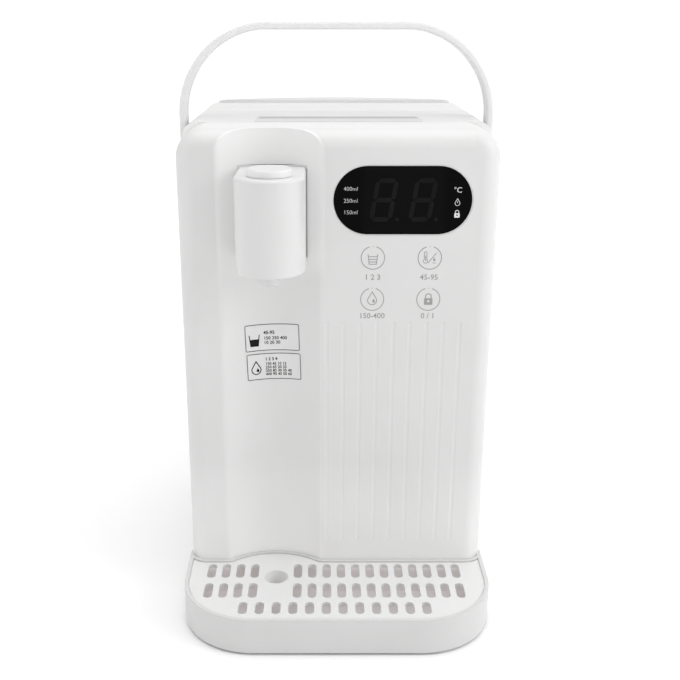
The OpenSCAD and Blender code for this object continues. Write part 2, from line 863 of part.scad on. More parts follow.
// Rubber sheet behind the bay's wall that closes the gap round the spout housing
module spout_gasket() color(rubber_grey) {
    z0 = spout_bottom - gasket_lap;
    h = spout_h + 2 * gasket_lap;
    half = spout_r + gasket_lap;
    hole_r = spout_r + seat;
    difference() {
        intersection() {
            translate([scoop_x, scoop_y, z0]) tube(gasket_r + gasket_t, gasket_r, h);
            translate([spout_x - half, scoop_y, z0 - cut]) cube([2 * half, gasket_r + gasket_t + cut, h + 2 * cut]);
        }
        along_y(scoop_y, root_y1 + cut) translate([spout_x, spout_top + seat]) {
            edge_profile(hole_r, spout_h + 2 * seat, spout_edge);
            mirror([1, 0]) edge_profile(hole_r, spout_h + 2 * seat, spout_edge);
        }
    }
}

module spout_cap() color(white_abs) {
    translate([spout_x, spout_y, spout_top + seat]) {
        translate([0, 0, cap_h]) rotate_extrude() edge_profile(cap_r, cap_h, 1);
        translate([0, 0, -spout_wall - 1.5]) cylinder(r = cap_stem_r, h = spout_wall + 1.5);
    }
}

module spout_nozzle() color(white_abs) {
    translate([spout_x, spout_y, 0]) difference() {
        union() {
            translate([0, 0, spout_bottom - nozzle_drop]) cylinder(r = nozzle_r, h = nozzle_top - spout_bottom + nozzle_drop);
            translate([0, 0, spout_bottom + spout_wall + seat]) cylinder(r = nozzle_flange_r, h = nozzle_flange_t);
        }
        translate([0, 0, spout_bottom - nozzle_drop - cut]) cylinder(r = nozzle_bore, h = nozzle_top - spout_bottom + nozzle_drop + 2 * cut);
    }
}

module outlet_pipe() color(silicone) {
    translate([spout_x, spout_y, nozzle_top + seat]) tube(pipe_r, pipe_bore, pipe_z - pipe_bend - nozzle_top - seat);
    translate([spout_x, spout_y + pipe_bend, pipe_z - pipe_bend]) rotate([90, 0, 90])
        bend(pipe_r, pipe_bore, pipe_bend, 90);
    translate([spout_x, spout_y + pipe_bend, pipe_z]) rotate([-90, 0, 0])
        tube(pipe_r, pipe_bore, pipe_y1 - spout_y - pipe_bend - spigot_len);
    translate([spout_x, pipe_y1 - spigot_len, pipe_z]) rotate([-90, 0, 0]) tube(spigot_r, pipe_bore - 0.6, spigot_len);
}

// Display and keys

module display_window() color(black_gloss) {
    translate([window_x, 0, window_z]) {
        along_y(front_y + window_sink, front_y + wall + seat)
            stadium(window_w - 2 * window_gap, window_h - 2 * window_gap);
        along_y(front_y + wall + seat, front_y + wall + seat + flange_t)
            stadium(window_w + 2 * flange_w, window_h + 2 * flange_w);
    }
}

module digit_module() color(black_plastic) {
    y0 = front_y + wall + flange_t + 2 * seat;
    translate([window_x, 0, window_z]) along_y(y0, board_y - seat) square([digit_w, digit_h], center = true);
}

module display_board() color(board_green) {
    translate([window_x - board_w / 2, board_y, board_z0]) cube([board_w, board_t, board_z1 - board_z0]);
}

module touch_springs() color(steel) {
    for (sx = [-1, 1], sz = [-1, 1])
        translate([window_x + sx * key_pitch_x / 2, front_y + wall + seat, keys_z + sz * key_pitch_z / 2])
            rotate([-90, 0, 0]) tube(spring_r, spring_r - spring_wall, board_setback - wall - 2 * seat);
}

// Drip tray

module drip_tray() color(white_abs) {
    difference() {
        along_z(tray_z0, tray_top) tray_plan(0);
        along_z(floor_z, grate_z0 - seat) tray_plan(tray_rim + shelf_w);
        along_z(grate_z0 - seat, tray_top + cut) tray_plan(tray_rim);
    }
    both_sides() translate([tongue_x - tongue_w / 2, front_y - tray_gap - tray_rim, tongue_z])
        cube([tongue_w, tray_gap + tray_rim + tongue_reach, tongue_t]);
    both_sides() translate([tray_w / 2 - tray_corner, front_y - tray_reach / 2, 0])
        cylinder(r = 7, h = tray_z0 + tray_floor / 2);
}

// Rows of drain slots: columns spread about the middle, with the ones over the funnel left out
module slot_row(y, len, count, pitch) {
    for (k = [0 : count - 1]) {
        x = slot_x + (k - (count - 1) / 2) * pitch;
        if (abs(x - spout_x) > funnel_keepout || abs(y - funnel_y) > len + funnel_r)
            translate([x, y]) rotate(90) stadium(len, slot_w);
    }
}

// Cone of the drip funnel, grown sideways by grow and upwards by rise
module funnel_cone(grow, rise) {
    translate([spout_x, funnel_y, grate_z1]) rotate_extrude()
        polygon([[0, -funnel_depth - rise], [funnel_bore + grow, -funnel_depth - rise],
            [funnel_bore + grow, -funnel_depth], [funnel_r + grow, 0], [funnel_r + grow, rise], [0, rise]]);
}

module drip_grate() color(white_abs) {
    difference() {
        union() {
            along_z(grate_z0, grate_z1) difference() {
                tray_plan(tray_rim + grate_gap);
                slot_row(first_row_y, slot_len, slot_columns, slot_pitch);
                slot_row(second_row_y, slot_len, slot_columns, slot_pitch);
                slot_row(front_row_y, front_slot_len, front_columns, front_slot_pitch);
            }
            funnel_cone(funnel_wall, 0);
        }
        funnel_cone(0, cut);
    }
}

// Tank and lid

// Solid of the tank's outside, with the raised ledge behind the lid
module tank_outside() {
    difference() {
        intersection() {
            along_z(tank_z0, ledge_z) rear_plan(0, tank_y0);
            along_y(tank_y0 - cut, rear_y + cut) arch_outline(body_w, tank_z0 - cut, ledge_z, housing_corner);
            translate([0, bow_cy, ledge_z]) rotate_extrude() edge_profile(bow_r, ledge_z, ledge_edge);
        }
        translate([-body_w / 2 - cut, tank_y0 - cut, rim_z])
            cube([body_w + 2 * cut, hinge_bar_y - tank_y0 + cut, ledge_z - rim_z + cut]);
        translate([-body_w / 2 - cut, hinge_bar_y - cut, hinge_bar_z])
            cube([body_w + 2 * cut, ledge_y0 - hinge_bar_y + cut, ledge_z - hinge_bar_z + cut]);
    }
}

module hinge_lugs() {
    both_sides() {
        translate([lug_x - lug_w / 2, hinge_y, hinge_z]) rotate([0, 90, 0]) cylinder(r = barrel_r - 0.1, h = lug_w);
        translate([lug_x - lug_w / 2, hinge_y, hinge_z - barrel_r + 0.1])
            cube([lug_w, ledge_y0 + tank_wall / 2 - hinge_y, 2 * barrel_r - 0.6]);
    }
}

module water_tank() color(smoke_clear) {
    difference() {
        union() {
            difference() {
                tank_outside();
                along_z(tank_floor_z, rim_z - tank_wall) rear_plan(tank_wall, tank_y0 + tank_wall);
                along_z(rim_z - tank_wall - cut, rim_z + cut)
                    intersection() {
                        rear_plan(tank_wall + rim_flange, tank_y0 + tank_wall + rim_flange);
                        translate([-body_w, tank_y0]) square([2 * body_w, mouth_y1 - tank_y0]);
                    }
                along_z(rim_z - tank_wall - cut, ledge_z - tank_wall)
                    intersection() {
                        rear_plan(tank_wall + ledge_edge, tank_y0);
                        translate([-body_w, ledge_y0 + tank_wall]) square([2 * body_w, rear_bow]);
                    }
            }
            translate([valve_x, valve_y, neck_z0]) cylinder(r = neck_r, h = tank_floor_z - neck_z0);
            hinge_lugs();
        }
        translate([valve_x, valve_y, neck_z0 - cut]) cylinder(r = neck_bore, h = tank_floor_z - neck_z0 + 2 * cut);
        translate([-hinge_half - seat, hinge_y, hinge_z]) rotate([0, 90, 0])
            cylinder(r = hinge_pin_r + seat / 2, h = 2 * (hinge_half + seat));
    }
}

module tank_lid() color(white_abs) {
    difference() {
        union() {
            intersection() {
                along_z(body_top - lid_skirt, body_top) rear_plan(0, lid_y0);
                along_y(lid_y0, hinge_y) arch_outline(body_w, dock_top, body_top, housing_corner);
            }
            intersection() {
                translate([-body_w / 2, hinge_y, hinge_z]) rotate([0, 90, 0]) cylinder(r = barrel_r, h = body_w);
                along_y(hinge_y - barrel_r - cut, hinge_y + barrel_r + cut)
                    arch_outline(body_w, dock_top, body_top, housing_corner);
                along_z(body_top - lid_skirt, body_top + cut) rear_plan(0, lid_y0);
            }
        }
        along_y(lid_y0 + lid_t, hinge_y - barrel_r)
            arch_outline(body_w - 2 * lid_t, dock_top, body_top - lid_t, housing_corner - lid_t);
        along_y(hinge_y - barrel_r - cut, hinge_y + cut)
            translate([-lid_corner_x, dock_top]) square([2 * lid_corner_x, hinge_z - barrel_r - dock_top]);
        both_sides() translate([lug_x - lug_w / 2 - lug_gap, hinge_y - barrel_r - lug_gap, hinge_z - barrel_r - cut])
            cube([lug_w + 2 * lug_gap, 2 * barrel_r + 2 * lug_gap, 2 * barrel_r + 2 * cut]);
        translate([-hinge_half - 1, hinge_y, hinge_z]) rotate([0, 90, 0])
            cylinder(r = hinge_pin_r + hinge_clear, h = 2 * (hinge_half + 1));
    }
}

module lid_seal() color(silicone) {
    y0 = tank_y0 + seal_inset + 1;
    y1 = hinge_y - barrel_r - 3;
    half = body_w / 2 - seal_inset;
    intersection() {
        along_z(body_top - lid_skirt, body_top - lid_t - seat) difference() {
            translate([-half, y0]) square([2 * half, y1 - y0]);
            translate([-half + seal_t, y0 + seal_t]) square([2 * (half - seal_t), y1 - y0 - 2 * seal_t]);
        }
        along_y(y0 - cut, y1 + cut) arch_outline(body_w - 2 * (lid_t + seat), dock_top,
            body_top - lid_t - seat, housing_corner - lid_t - seat);
    }
}

module lid_hinge_pin() color(steel) {
    translate([-hinge_half, hinge_y, hinge_z]) rotate([0, 90, 0]) cylinder(r = hinge_pin_r, h = 2 * hinge_half);
}

// Tank valve and dock coupling

module valve_body() color(black_plastic) {
    translate([valve_x, valve_y, valve_z0]) difference() {
        cylinder(r = valve_skirt_r, h = tank_z0 - valve_z0 - seat);
        translate([0, 0, valve_plate]) cylinder(r = neck_r + seat, h = tank_z0);
        translate([0, 0, -cut]) cylinder(r = valve_seat_r, h = valve_plate + 2 * cut);
    }
}

module valve_poppet() color(silicone) {
    translate([valve_x, valve_y, poppet_z0]) {
        cylinder(r = neck_bore - 0.6, h = poppet_t);
        cylinder(r = 2.4, h = poppet_t + 4);
    }
}

module tank_strainer() color(white_abs) {
    strainer_r = neck_r + 3;
    window_count = 12;
    translate([valve_x, valve_y, tank_floor_z + seat]) difference() {
        cylinder(r = strainer_r, h = strainer_h);
        translate([0, 0, 2]) cylinder(r = strainer_r - 1.5, h = strainer_h - 4);
        for (k = [0 : window_count - 1]) rotate(k * 360 / window_count)
            translate([strainer_r - 3, -1, 3]) cube([3 + cut, 2, strainer_h - 6]);
        for (k = [0 : 4]) rotate(k * 72) translate([neck_bore - 2.4, 0, -cut]) cylinder(r = 1.2, h = 3 + cut);
    }
}

module valve_spring() color(steel) {
    z0 = poppet_z0 + poppet_t + seat;
    translate([valve_x, valve_y, z0]) tube(4.4, 3.6, tank_floor_z - z0);
}

module dock_coupling() color(black_plastic) {
    flange_r = well_r - 4;
    barb_z0 = port_z + hose_bend;
    translate([valve_x, valve_y, 0]) {
        difference() {
            union() {
                translate([0, 0, well_floor_z + seat]) cylinder(r = flange_r, h = coupling_t);
                translate([0, 0, barb_z0 + hose_lead + spigot_len]) cylinder(r = hose_r + 1, h = well_floor_z + seat - barb_z0 - hose_lead - spigot_len);
                translate([0, 0, barb_z0 + hose_lead]) cylinder(r = spigot_r, h = well_floor_z - barb_z0);
            }
            translate([0, 0, barb_z0]) cylinder(r = spigot_bore, h = dock_top);
        }
        translate([-hose_bore, -1, well_floor_z]) cube([2 * hose_bore, 2, coupling_t]);
        translate([0, 0, well_floor_z]) cylinder(r = 1.5, h = poppet_z0 - well_floor_z - 0.3);
    }
}

module coupling_seal() color(rubber_grey) {
    translate([valve_x, valve_y, well_floor_z + coupling_t + 2 * seat]) tube(valve_seat_r + 3, valve_seat_r, seal_ring_t);
}

// Pump and flow meter

module pump_mount() color(rubber_grey) {
    translate([valve_x, work_y, pan_z1 + seat]) tube(pump_r - 2, pump_r - 6, mount_h - 2 * seat);
}

module pump_head() color(black_plastic) {
    translate([valve_x, work_y, port_z]) {
        translate([0, 0, -pump_h / 2]) cylinder(r = pump_r, h = pump_h);
        rotate([-90, 0, 0]) translate([0, 0, pump_r - 1]) tube(spigot_r, spigot_bore, spigot_len + 1);
        rotate([0, -90, 0]) translate([0, 0, pump_r - 1]) tube(spigot_r, spigot_bore, spigot_len + 1);
    }
}

module pump_motor() color(steel) {
    translate([valve_x, work_y, port_z + pump_h / 2 + seat]) {
        translate([0, 0, motor_h]) rotate_extrude() edge_profile(motor_r, motor_h, 2);
        translate([0, 0, motor_h]) cylinder(r = motor_r / 3, h = 3);
    }
}

module flow_meter() color(black_plastic) {
    translate([meter_x, work_y, port_z]) {
        translate([0, 0, -meter_h / 2]) cylinder(r = meter_r, h = meter_h);
        for (s = [-1, 1]) rotate([0, s * 90, 0]) translate([0, 0, meter_r - 1]) tube(spigot_r, spigot_bore, spigot_len + 1);
        translate([0, 0, -port_rise + seat]) cylinder(r = meter_r / 2, h = port_rise - meter_h / 2);
    }
}

// Flow heater

module flow_heater() color(steel) {
    translate([spout_x, work_y, heater_bottom + heater_cap_h + seat]) tube(heater_r, heater_r - 1.5, heater_len - 2 * heater_cap_h - 2 * seat);
}

// End cap that stands on the origin with its spigot downwards
module heater_cap() {
    difference() {
        union() {
            cylinder(r = heater_cap_r, h = heater_cap_h);
            translate([0, 0, -spigot_len]) cylinder(r = spigot_r, h = spigot_len + 1);
        }
        translate([0, 0, -spigot_len - cut]) cylinder(r = spigot_bore, h = spigot_len + heater_cap_h + 2 * cut);
        translate([heater_cap_r - sensor_depth, 0, heater_cap_h / 2]) rotate([0, 90, 0])
            cylinder(r = sensor_r + seat, h = sensor_depth + cut);
    }
}

module heater_caps() color(black_plastic) {
    translate([spout_x, work_y, heater_bottom]) heater_cap();
    translate([spout_x, work_y, heater_top]) mirror([0, 0, 1]) heater_cap();
}

module heater_clamps() color(steel) {
    arm_y = housing_y1 - wall - work_y - seat;
    for (s = [-1, 1]) translate([spout_x, work_y, heater_bottom + heater_len / 2 + s * clamp_spread - clamp_h / 2]) {
        tube(heater_r + seat + clamp_t, heater_r + seat, clamp_h);
        translate([-clamp_h / 2, heater_r + seat + clamp_t / 2, 0]) cube([clamp_h, arm_y - heater_r - seat - clamp_t / 2, clamp_h]);
    }
}

module thermal_cutout() color(black_plastic) {
    translate([spout_x + heater_r + 0.2, work_y, heater_bottom + heater_len / 2]) rotate([0, 90, 0]) {
        cylinder(r = 8, h = 6);
        translate([0, 0, 6]) cylinder(r = 5, h = 3);
    }
}

module temperature_sensors() color(steel) {
    for (z = [heater_bottom + heater_cap_h / 2, heater_top - heater_cap_h / 2])
        translate([spout_x + heater_cap_r - sensor_depth + seat, work_y, z]) rotate([0, 90, 0]) cylinder(r = sensor_r, h = sensor_len);
}

// Hoses

module tank_hose() color(silicone) {
    y1 = valve_y - hose_bend;
    y0 = work_y + pump_r + hose_lead;
    translate([valve_x, valve_y, port_z + hose_bend]) tube(hose_r, hose_bore, hose_lead + spigot_len - seat);
    translate([valve_x, y1, port_z + hose_bend]) rotate([90, 0, 90]) bend(hose_r, hose_bore, hose_bend, -90);
    translate([valve_x, y0, port_z]) rotate([-90, 0, 0]) tube(hose_r, hose_bore, y1 - y0);
}

module pump_hose() color(silicone) {
    x0 = meter_x + meter_r + hose_lead;
    x1 = valve_x - pump_r - hose_lead;
    translate([x0, work_y, port_z]) rotate([0, 90, 0]) tube(hose_r, hose_bore, x1 - x0);
}

module heater_hose() color(silicone) {
    x0 = spout_x + hose_bend;
    x1 = meter_x - meter_r - hose_lead;
    translate([x0, work_y, port_z]) rotate([0, 90, 0]) tube(hose_r, hose_bore, x1 - x0);
    translate([x0, work_y, port_z + hose_bend]) rotate([90, 0, 0]) bend(hose_r, hose_bore, hose_bend, 180);
    translate([spout_x, work_y, port_z + hose_bend]) tube(hose_r, hose_bore, heater_bottom - hose_lead - port_z - hose_bend);
}

module outlet_hose() color(silicone) {
    z0 = heater_top + hose_lead;
    z1 = pipe_z - hose_bend;
    y0 = pipe_y1 - spigot_len + seat;
    y1 = work_y - hose_bend;
    translate([spout_x, work_y, z0]) tube(hose_r, hose_bore, z1 - z0);
    translate([spout_x, y1, z1]) rotate([90, 0, 90]) bend(hose_r, hose_bore, hose_bend, 0);
    translate([spout_x, y0, pipe_z]) rotate([-90, 0, 0]) tube(hose_r, hose_bore, y1 - y0);
}

// Electronics

module power_board() color(board_green) {
    translate([power_x - power_w / 2, power_y, power_z - power_h / 2]) cube([power_w, board_t, power_h]);
}

module board_components() color(black_plastic) {
    translate([power_x, power_y - seat, power_z]) {
        for (x = relay_xs) translate([x, -relay_size[1], relay_z]) cube(relay_size);
        translate([supply_x, -supply_size[1], lower_z]) cube(supply_size);
        for (k = [0 : fin_count - 1])
            translate([fin_x + fin_pitch * k, -fin_size[1], lower_z]) cube(fin_size);
        translate([fin_x - 1, -sink_t, lower_z])
            cube([fin_pitch * (fin_count - 1) + fin_size[0] + 1, sink_t, fin_size[2]]);
        for (x = capacitor_xs) translate([x, 0, capacitor_z]) rotate([90, 0, 0])
            cylinder(r = capacitor_r, h = capacitor_h);
    }
}

module cord_gland() color(black_plastic) {
    inner = wall + 5;
    translate([gland_x, gland_pocket_y + seat, gland_z]) rotate([-90, 0, 0]) difference() {
        union() {
            translate([0, 0, gland_flange_t]) rotate_extrude() edge_profile(gland_flange_r, gland_flange_t, 1);
            translate([0, 0, -inner]) cylinder(r = gland_body_r, h = inner);
        }
        translate([0, 0, -inner - cut]) cylinder(r = gland_bore, h = inner + gland_flange_t + 2 * cut);
    }
}

// Feet and screws

module rubber_feet() color(rubber_grey) {
    for (y = foot_ys) both_sides() translate([foot_x, y, 0]) {
        cylinder(r = foot_r, h = foot_h - seat / 2);
        cylinder(r = foot_stem_r, h = pan_z1 + 2);
    }
}

module case_screws() color(steel) {
    for (y = post_ys) both_sides() translate([post_x, y, foot_h + seat]) {
        cylinder(r = screw_head_r, h = screw_head_t - seat);
        cylinder(r = screw_r, h = screw_head_t + screw_reach);
    }
}

front_panel();
main_housing();
base_pan();
tank_dock();
handle_bail();
handle_pins();
spout_housing();
spout_gasket();
spout_cap();
spout_nozzle();
outlet_pipe();
display_window();
digit_module();
display_board();
touch_springs();
drip_tray();
drip_grate();
water_tank();
tank_lid();
lid_seal();
lid_hinge_pin();
valve_body();
valve_poppet();
valve_spring();
tank_strainer();
dock_coupling();
coupling_seal();
pump_mount();
pump_head();
pump_motor();
flow_meter();
flow_heater();
heater_caps();
heater_clamps();
thermal_cutout();
temperature_sensors();
tank_hose();
pump_hose();
heater_hose();
outlet_hose();
power_board();
board_components();
cord_gland();
rubber_feet();
case_screws();
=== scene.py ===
"""Looks of the worktop hot water dispenser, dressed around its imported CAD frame.

Metres, +Z up, the front faces -Y. Prints are drawn in millimetres on a flat sheet (u to the right, v up)
and then laid on the surface that carries them.
"""

import json
import math

import bmesh
import bpy
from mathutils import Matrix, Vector


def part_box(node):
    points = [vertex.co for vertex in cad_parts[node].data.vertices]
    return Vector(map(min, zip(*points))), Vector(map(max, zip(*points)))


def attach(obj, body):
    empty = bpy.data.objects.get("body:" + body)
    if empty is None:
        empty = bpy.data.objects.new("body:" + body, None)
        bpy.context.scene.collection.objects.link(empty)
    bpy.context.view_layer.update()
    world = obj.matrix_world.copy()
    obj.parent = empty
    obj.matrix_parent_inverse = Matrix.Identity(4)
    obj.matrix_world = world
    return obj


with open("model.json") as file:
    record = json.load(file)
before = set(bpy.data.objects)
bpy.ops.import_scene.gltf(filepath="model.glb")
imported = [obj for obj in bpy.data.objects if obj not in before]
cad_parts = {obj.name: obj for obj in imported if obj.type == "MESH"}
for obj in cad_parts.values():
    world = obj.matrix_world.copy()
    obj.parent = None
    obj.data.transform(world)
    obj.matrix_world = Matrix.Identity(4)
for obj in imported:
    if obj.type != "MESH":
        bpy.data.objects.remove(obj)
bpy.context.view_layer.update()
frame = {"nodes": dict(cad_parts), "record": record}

MM = 0.001

# Camera, fitted to the photograph's frame of 680 x 680
IMAGE_SIZE = 680
FOCAL_PX = 963.6
CENTRE_PX = 320.0
CAMERA_PITCH = math.radians(18.49)
CAMERA_PLACE = Vector((-0.0105, -0.6311, 0.3635))
SENSOR_MM = 36.0

# Places that the finishes and prints follow, read from the frame
panel_low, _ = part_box("front_panel")
window_low, window_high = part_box("display_window")
tray_low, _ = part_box("drip_tray")
spout_low, spout_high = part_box("spout_housing")
housing_low, housing_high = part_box("main_housing")

# Middle of the window, in millimetres
WINDOW_X = (window_low.x + window_high.x) / 2 / MM
WINDOW_Z = (window_low.z + window_high.z) / 2 / MM

# Round wall of the cup bay, about an upright axis in front of the panel, in millimetres
BAY_X = -39.7
BAY_Y = panel_low.y / MM - 34.8
BAY_R = 45.8

# Roughness of the satin and of the smooth white
SATIN = (0.36, 0.46)
SMOOTH = (0.28, 0.33)

# Noise: sizes of the colour's drift and of the grain in millimetres, and how much finer the gloss drifts
DRIFT_MM = 45.0
DRIFT_DETAIL = 2.0
GRAIN_MM = 0.5
GRAIN_DETAIL = 4.0
GRAIN_ROUGHNESS = 0.6
GLOSS_FINER = 6

# How far a face turns towards an axis while one white gives way to another, painted shading that makes faces
# lighter or darker by the way they face, and the drift of both
PAINTED_SHADING_TURN = (0.3, 0.9)
SHADE_DRIFT = (0.97, 1.0)

# Colour of the painted light, given off as emission, that stands in for the light white hollows gather; the
# lengths below are in millimetres
GATHERED = (1.0, 0.99, 0.98, 1)

# Painted light on the panel's foot: strength, and the heights from full light to none
FOOT_GLOW = 0.155
FOOT_HEIGHTS = (25, 95)

# Painted light in the cup bay: strengths low and high in it, the heights between them, and the fade past its
# round wall
BAY_GLOW = (0.025, 0.12)
BAY_HEIGHTS = (212, 234)
BAY_FADE = (0.2, 1.8)

# Painted light in the grooves: strength, the depth where it is full, and the middle, half width and fade of
# their field
GROOVE_GLOW = 0.022
GROOVE_DEPTH = 0.3
GROOVES_X = 34.0
GROOVES_HALF = 44.0
GROOVES_FADE = 1

# Gain of that painted light on groove walls that lean that far to the left, a painted highlight on one side;
# walls that lean as far to the right get none
GROOVE_GAIN = 2.4
GROOVE_LEAN = 0.25

# Painted light on the housing's front rim, which lifts its shade: strength, and the fade behind its front
# edge
RIM_GLOW = 0.2
RIM_FADE = (0.5, 1.5)

# Forward lean of a face (Y of its normal) where the painted light is full and where it ends
PANEL_AHEAD = (-0.9, -0.3)
RIM_AHEAD = (-0.9, -0.6)

# Painted light, given off as emission, in the tray's basin and the gap round the grate: colour, strengths,
# the heights between them, the top and its fade
BASIN_GATHERED = (1.0, 0.90, 0.89, 1)
BASIN_GLOW = (0.15, 0.3)
BASIN_HEIGHTS = (18, 21)
BASIN_TOP = 23.3
BASIN_FADE = 0.4

# Upward turn of a face that counts as the basin's floor, and how far a wall looks back inward, in metres
BASIN_FLOOR = (0.6, 0.8)
BASIN_INWARD = (-0.002, 0.0)

# Film thickness of a print, of the unlit digits and of a sticker, in millimetres
INK_T = 0.03
DIGIT_T = 0.02
STICKER_T = 0.12


# Materials


def tint(value, warmth=0.0):
    """Grey of that linear value, a little warmer or cooler."""
    return (value * (1 + warmth), value, value * (1 - warmth), 1.0)


class Finish:
    """A procedural material: noise-driven colour, roughness and grain on one Principled shader."""

    def __init__(self, name):
        self.material = bpy.data.materials.new(name)
        self.material.use_nodes = True
        self.tree = self.material.node_tree
        self.shader = self.tree.nodes["Principled BSDF"]
        coordinates = self.add("ShaderNodeTexCoord")
        self.place = coordinates.outputs["Object"]
        self.facing = coordinates.outputs["Normal"]

    def add(self, kind, **settings):
        node = self.tree.nodes.new(kind)
        for key, value in settings.items():
            setattr(node, key, value)
        return node

    def link(self, source, target):
        self.tree.links.new(source, target)

    def set(self, **values):
        """Sets the shader's own sockets."""
        for socket, value in values.items():
            self.shader.inputs[socket.replace("_", " ")].default_value = value

    def noise(self, size_mm, detail=3.0, rough=0.5):
        node = self.add("ShaderNodeTexNoise")
        node.inputs["Scale"].default_value = 1 / (size_mm * MM)
        node.inputs["Detail"].default_value = detail
        node.inputs["Roughness"].default_value = rough
        self.link(self.place, node.inputs["Vector"])
        return node.outputs["Fac"]

    def spread(self, source, low, high, start=0.3, end=0.7):
        """Runs from low to high while the source goes from start to end."""
        node = self.add("ShaderNodeMapRange")
        node.inputs["From Min"].default_value = start
        node.inputs["From Max"].default_value = end
        node.inputs["To Min"].default_value = low
        node.inputs["To Max"].default_value = high
        self.link(source, node.inputs["Value"])
        return node.outputs["Result"]

    def fade(self, source, low, high, start_mm, end_mm):
        """Runs from low to high between two lengths in millimetres."""
        return self.spread(source, low, high, start_mm * MM, end_mm * MM)

    def axis(self, vector, name):
        split = self.add("ShaderNodeSeparateXYZ")
        self.link(vector, split.inputs["Vector"])
        return split.outputs[name]

    def maths(self, operation, a, b):
        node = self.add("ShaderNodeMath", operation=operation)
        self.link(a, node.inputs[0])
        self.link(b, node.inputs[1])
        return node.outputs["Value"]

    def vector(self, operation, a, b=None):
        """Number that a vector operation gives."""
        node = self.add("ShaderNodeVectorMath", operation=operation)
        self.link(a, node.inputs[0])
        if b is not None:
            self.link(b, node.inputs[1])
        return node.outputs["Value"]

    def plan_from(self, x, y, kept=(1, 1, 0)):
        """Level offset of each point from an upright axis, in metres, along the kept directions."""
        offset = self.add("ShaderNodeVectorMath", operation="MULTIPLY_ADD")
        self.link(self.place, offset.inputs[0])
        offset.inputs[1].default_value = kept
        offset.inputs[2].default_value = (-x, -y, 0)
        return offset.outputs["Vector"]

    def sideways_from(self, x):
        """Distance of each point from an upright plane, to either side."""
        return self.vector("LENGTH", self.plan_from(x, 0, kept=(1, 0, 0)))

    def colour(self, source, low, high, start=0.3, end=0.7):
        node = self.add("ShaderNodeValToRGB")
        node.color_ramp.elements[0].position = start
        node.color_ramp.elements[0].color = low
        node.color_ramp.elements[1].position = end
        node.color_ramp.elements[1].color = high
        self.link(source, node.inputs["Fac"])
        self.link(node.outputs["Color"], self.shader.inputs["Base Color"])

    def paint_facing_shading(self, source, value, other, axis, side):
        """White of that value, and of another one painted on faces that look along an axis: painted shading,
        darker or lighter by the way a face looks.
        """
        most = max(value, other)
        start, end = PAINTED_SHADING_TURN
        turn = self.axis(self.facing, axis)
        share = self.spread(turn, value / most, other / most, start * side, end * side)
        shade = self.maths("MULTIPLY", self.spread(source, *SHADE_DRIFT), share)
        self.colour(shade, tint(0.0), tint(most), start=0.0, end=1.0)

    def roughness(self, source, low, high):
        self.link(self.spread(source, low, high), self.shader.inputs["Roughness"])

    def grain(self, source, depth_mm, edge_mm=0.0):
        """Surface grain of that depth, over edges that are softened by edge_mm."""
        bump = self.add("ShaderNodeBump")
        bump.inputs["Strength"].default_value = 1.0
        bump.inputs["Distance"].default_value = depth_mm * MM
        self.link(source, bump.inputs["Height"])
        if edge_mm > 0:
            bevel = self.add("ShaderNodeBevel", samples=4)
            bevel.inputs["Radius"].default_value = edge_mm * MM
            self.link(bevel.outputs["Normal"], bump.inputs["Normal"])
        self.link(bump.outputs["Normal"], self.shader.inputs["Normal"])

    def surface(self, rough, grain_mm, depth_mm, edge_mm, drift_mm):
        """Drift of gloss and a fine grain."""
        self.roughness(self.noise(drift_mm / GLOSS_FINER), *rough)
        self.grain(self.noise(grain_mm, GRAIN_DETAIL, GRAIN_ROUGHNESS), depth_mm, edge_mm)

    def glow(self, strength, colour):
        """Gives off light of one colour, with a strength that varies over the surface."""
        self.link(strength, self.shader.inputs["Emission Strength"])
        self.set(Emission_Color=colour)


def moulded(name, low, high, rough, grain_mm, depth_mm, edge_mm=0.0, drift_mm=DRIFT_MM):
    """Moulded plastic or rubber: slow drift of colour, finer drift of gloss and a fine grain."""
    finish = Finish(name)
    finish.colour(finish.noise(drift_mm, DRIFT_DETAIL), low, high)
    finish.surface(rough, grain_mm, depth_mm, edge_mm, drift_mm)
    return finish


def white_abs(name, value):
    """Fine satin white; each moulding gets its own value of it, partly its own tone and partly painted light
    or shade that sets how bright the part comes out.
    """
    low, high = tint(value * 0.985, 0.004), tint(value * 1.015, 0.002)
    return moulded(name, low, high, SATIN, GRAIN_MM, depth_mm=0.004, edge_mm=0.35)


def white_with_painted_shading(name, value, other, rough=SATIN, edge_mm=0.4, axis="Z", side=1):
    """White with painted shading: its upper faces, or those that look another way, are painted darker or
    lighter than the rest.
    """
    finish = Finish(name)
    finish.paint_facing_shading(finish.noise(DRIFT_MM, DRIFT_DETAIL), value, other, axis, side)
    finish.surface(rough, GRAIN_MM, depth_mm=0.002, edge_mm=edge_mm, drift_mm=DRIFT_MM)
    return finish


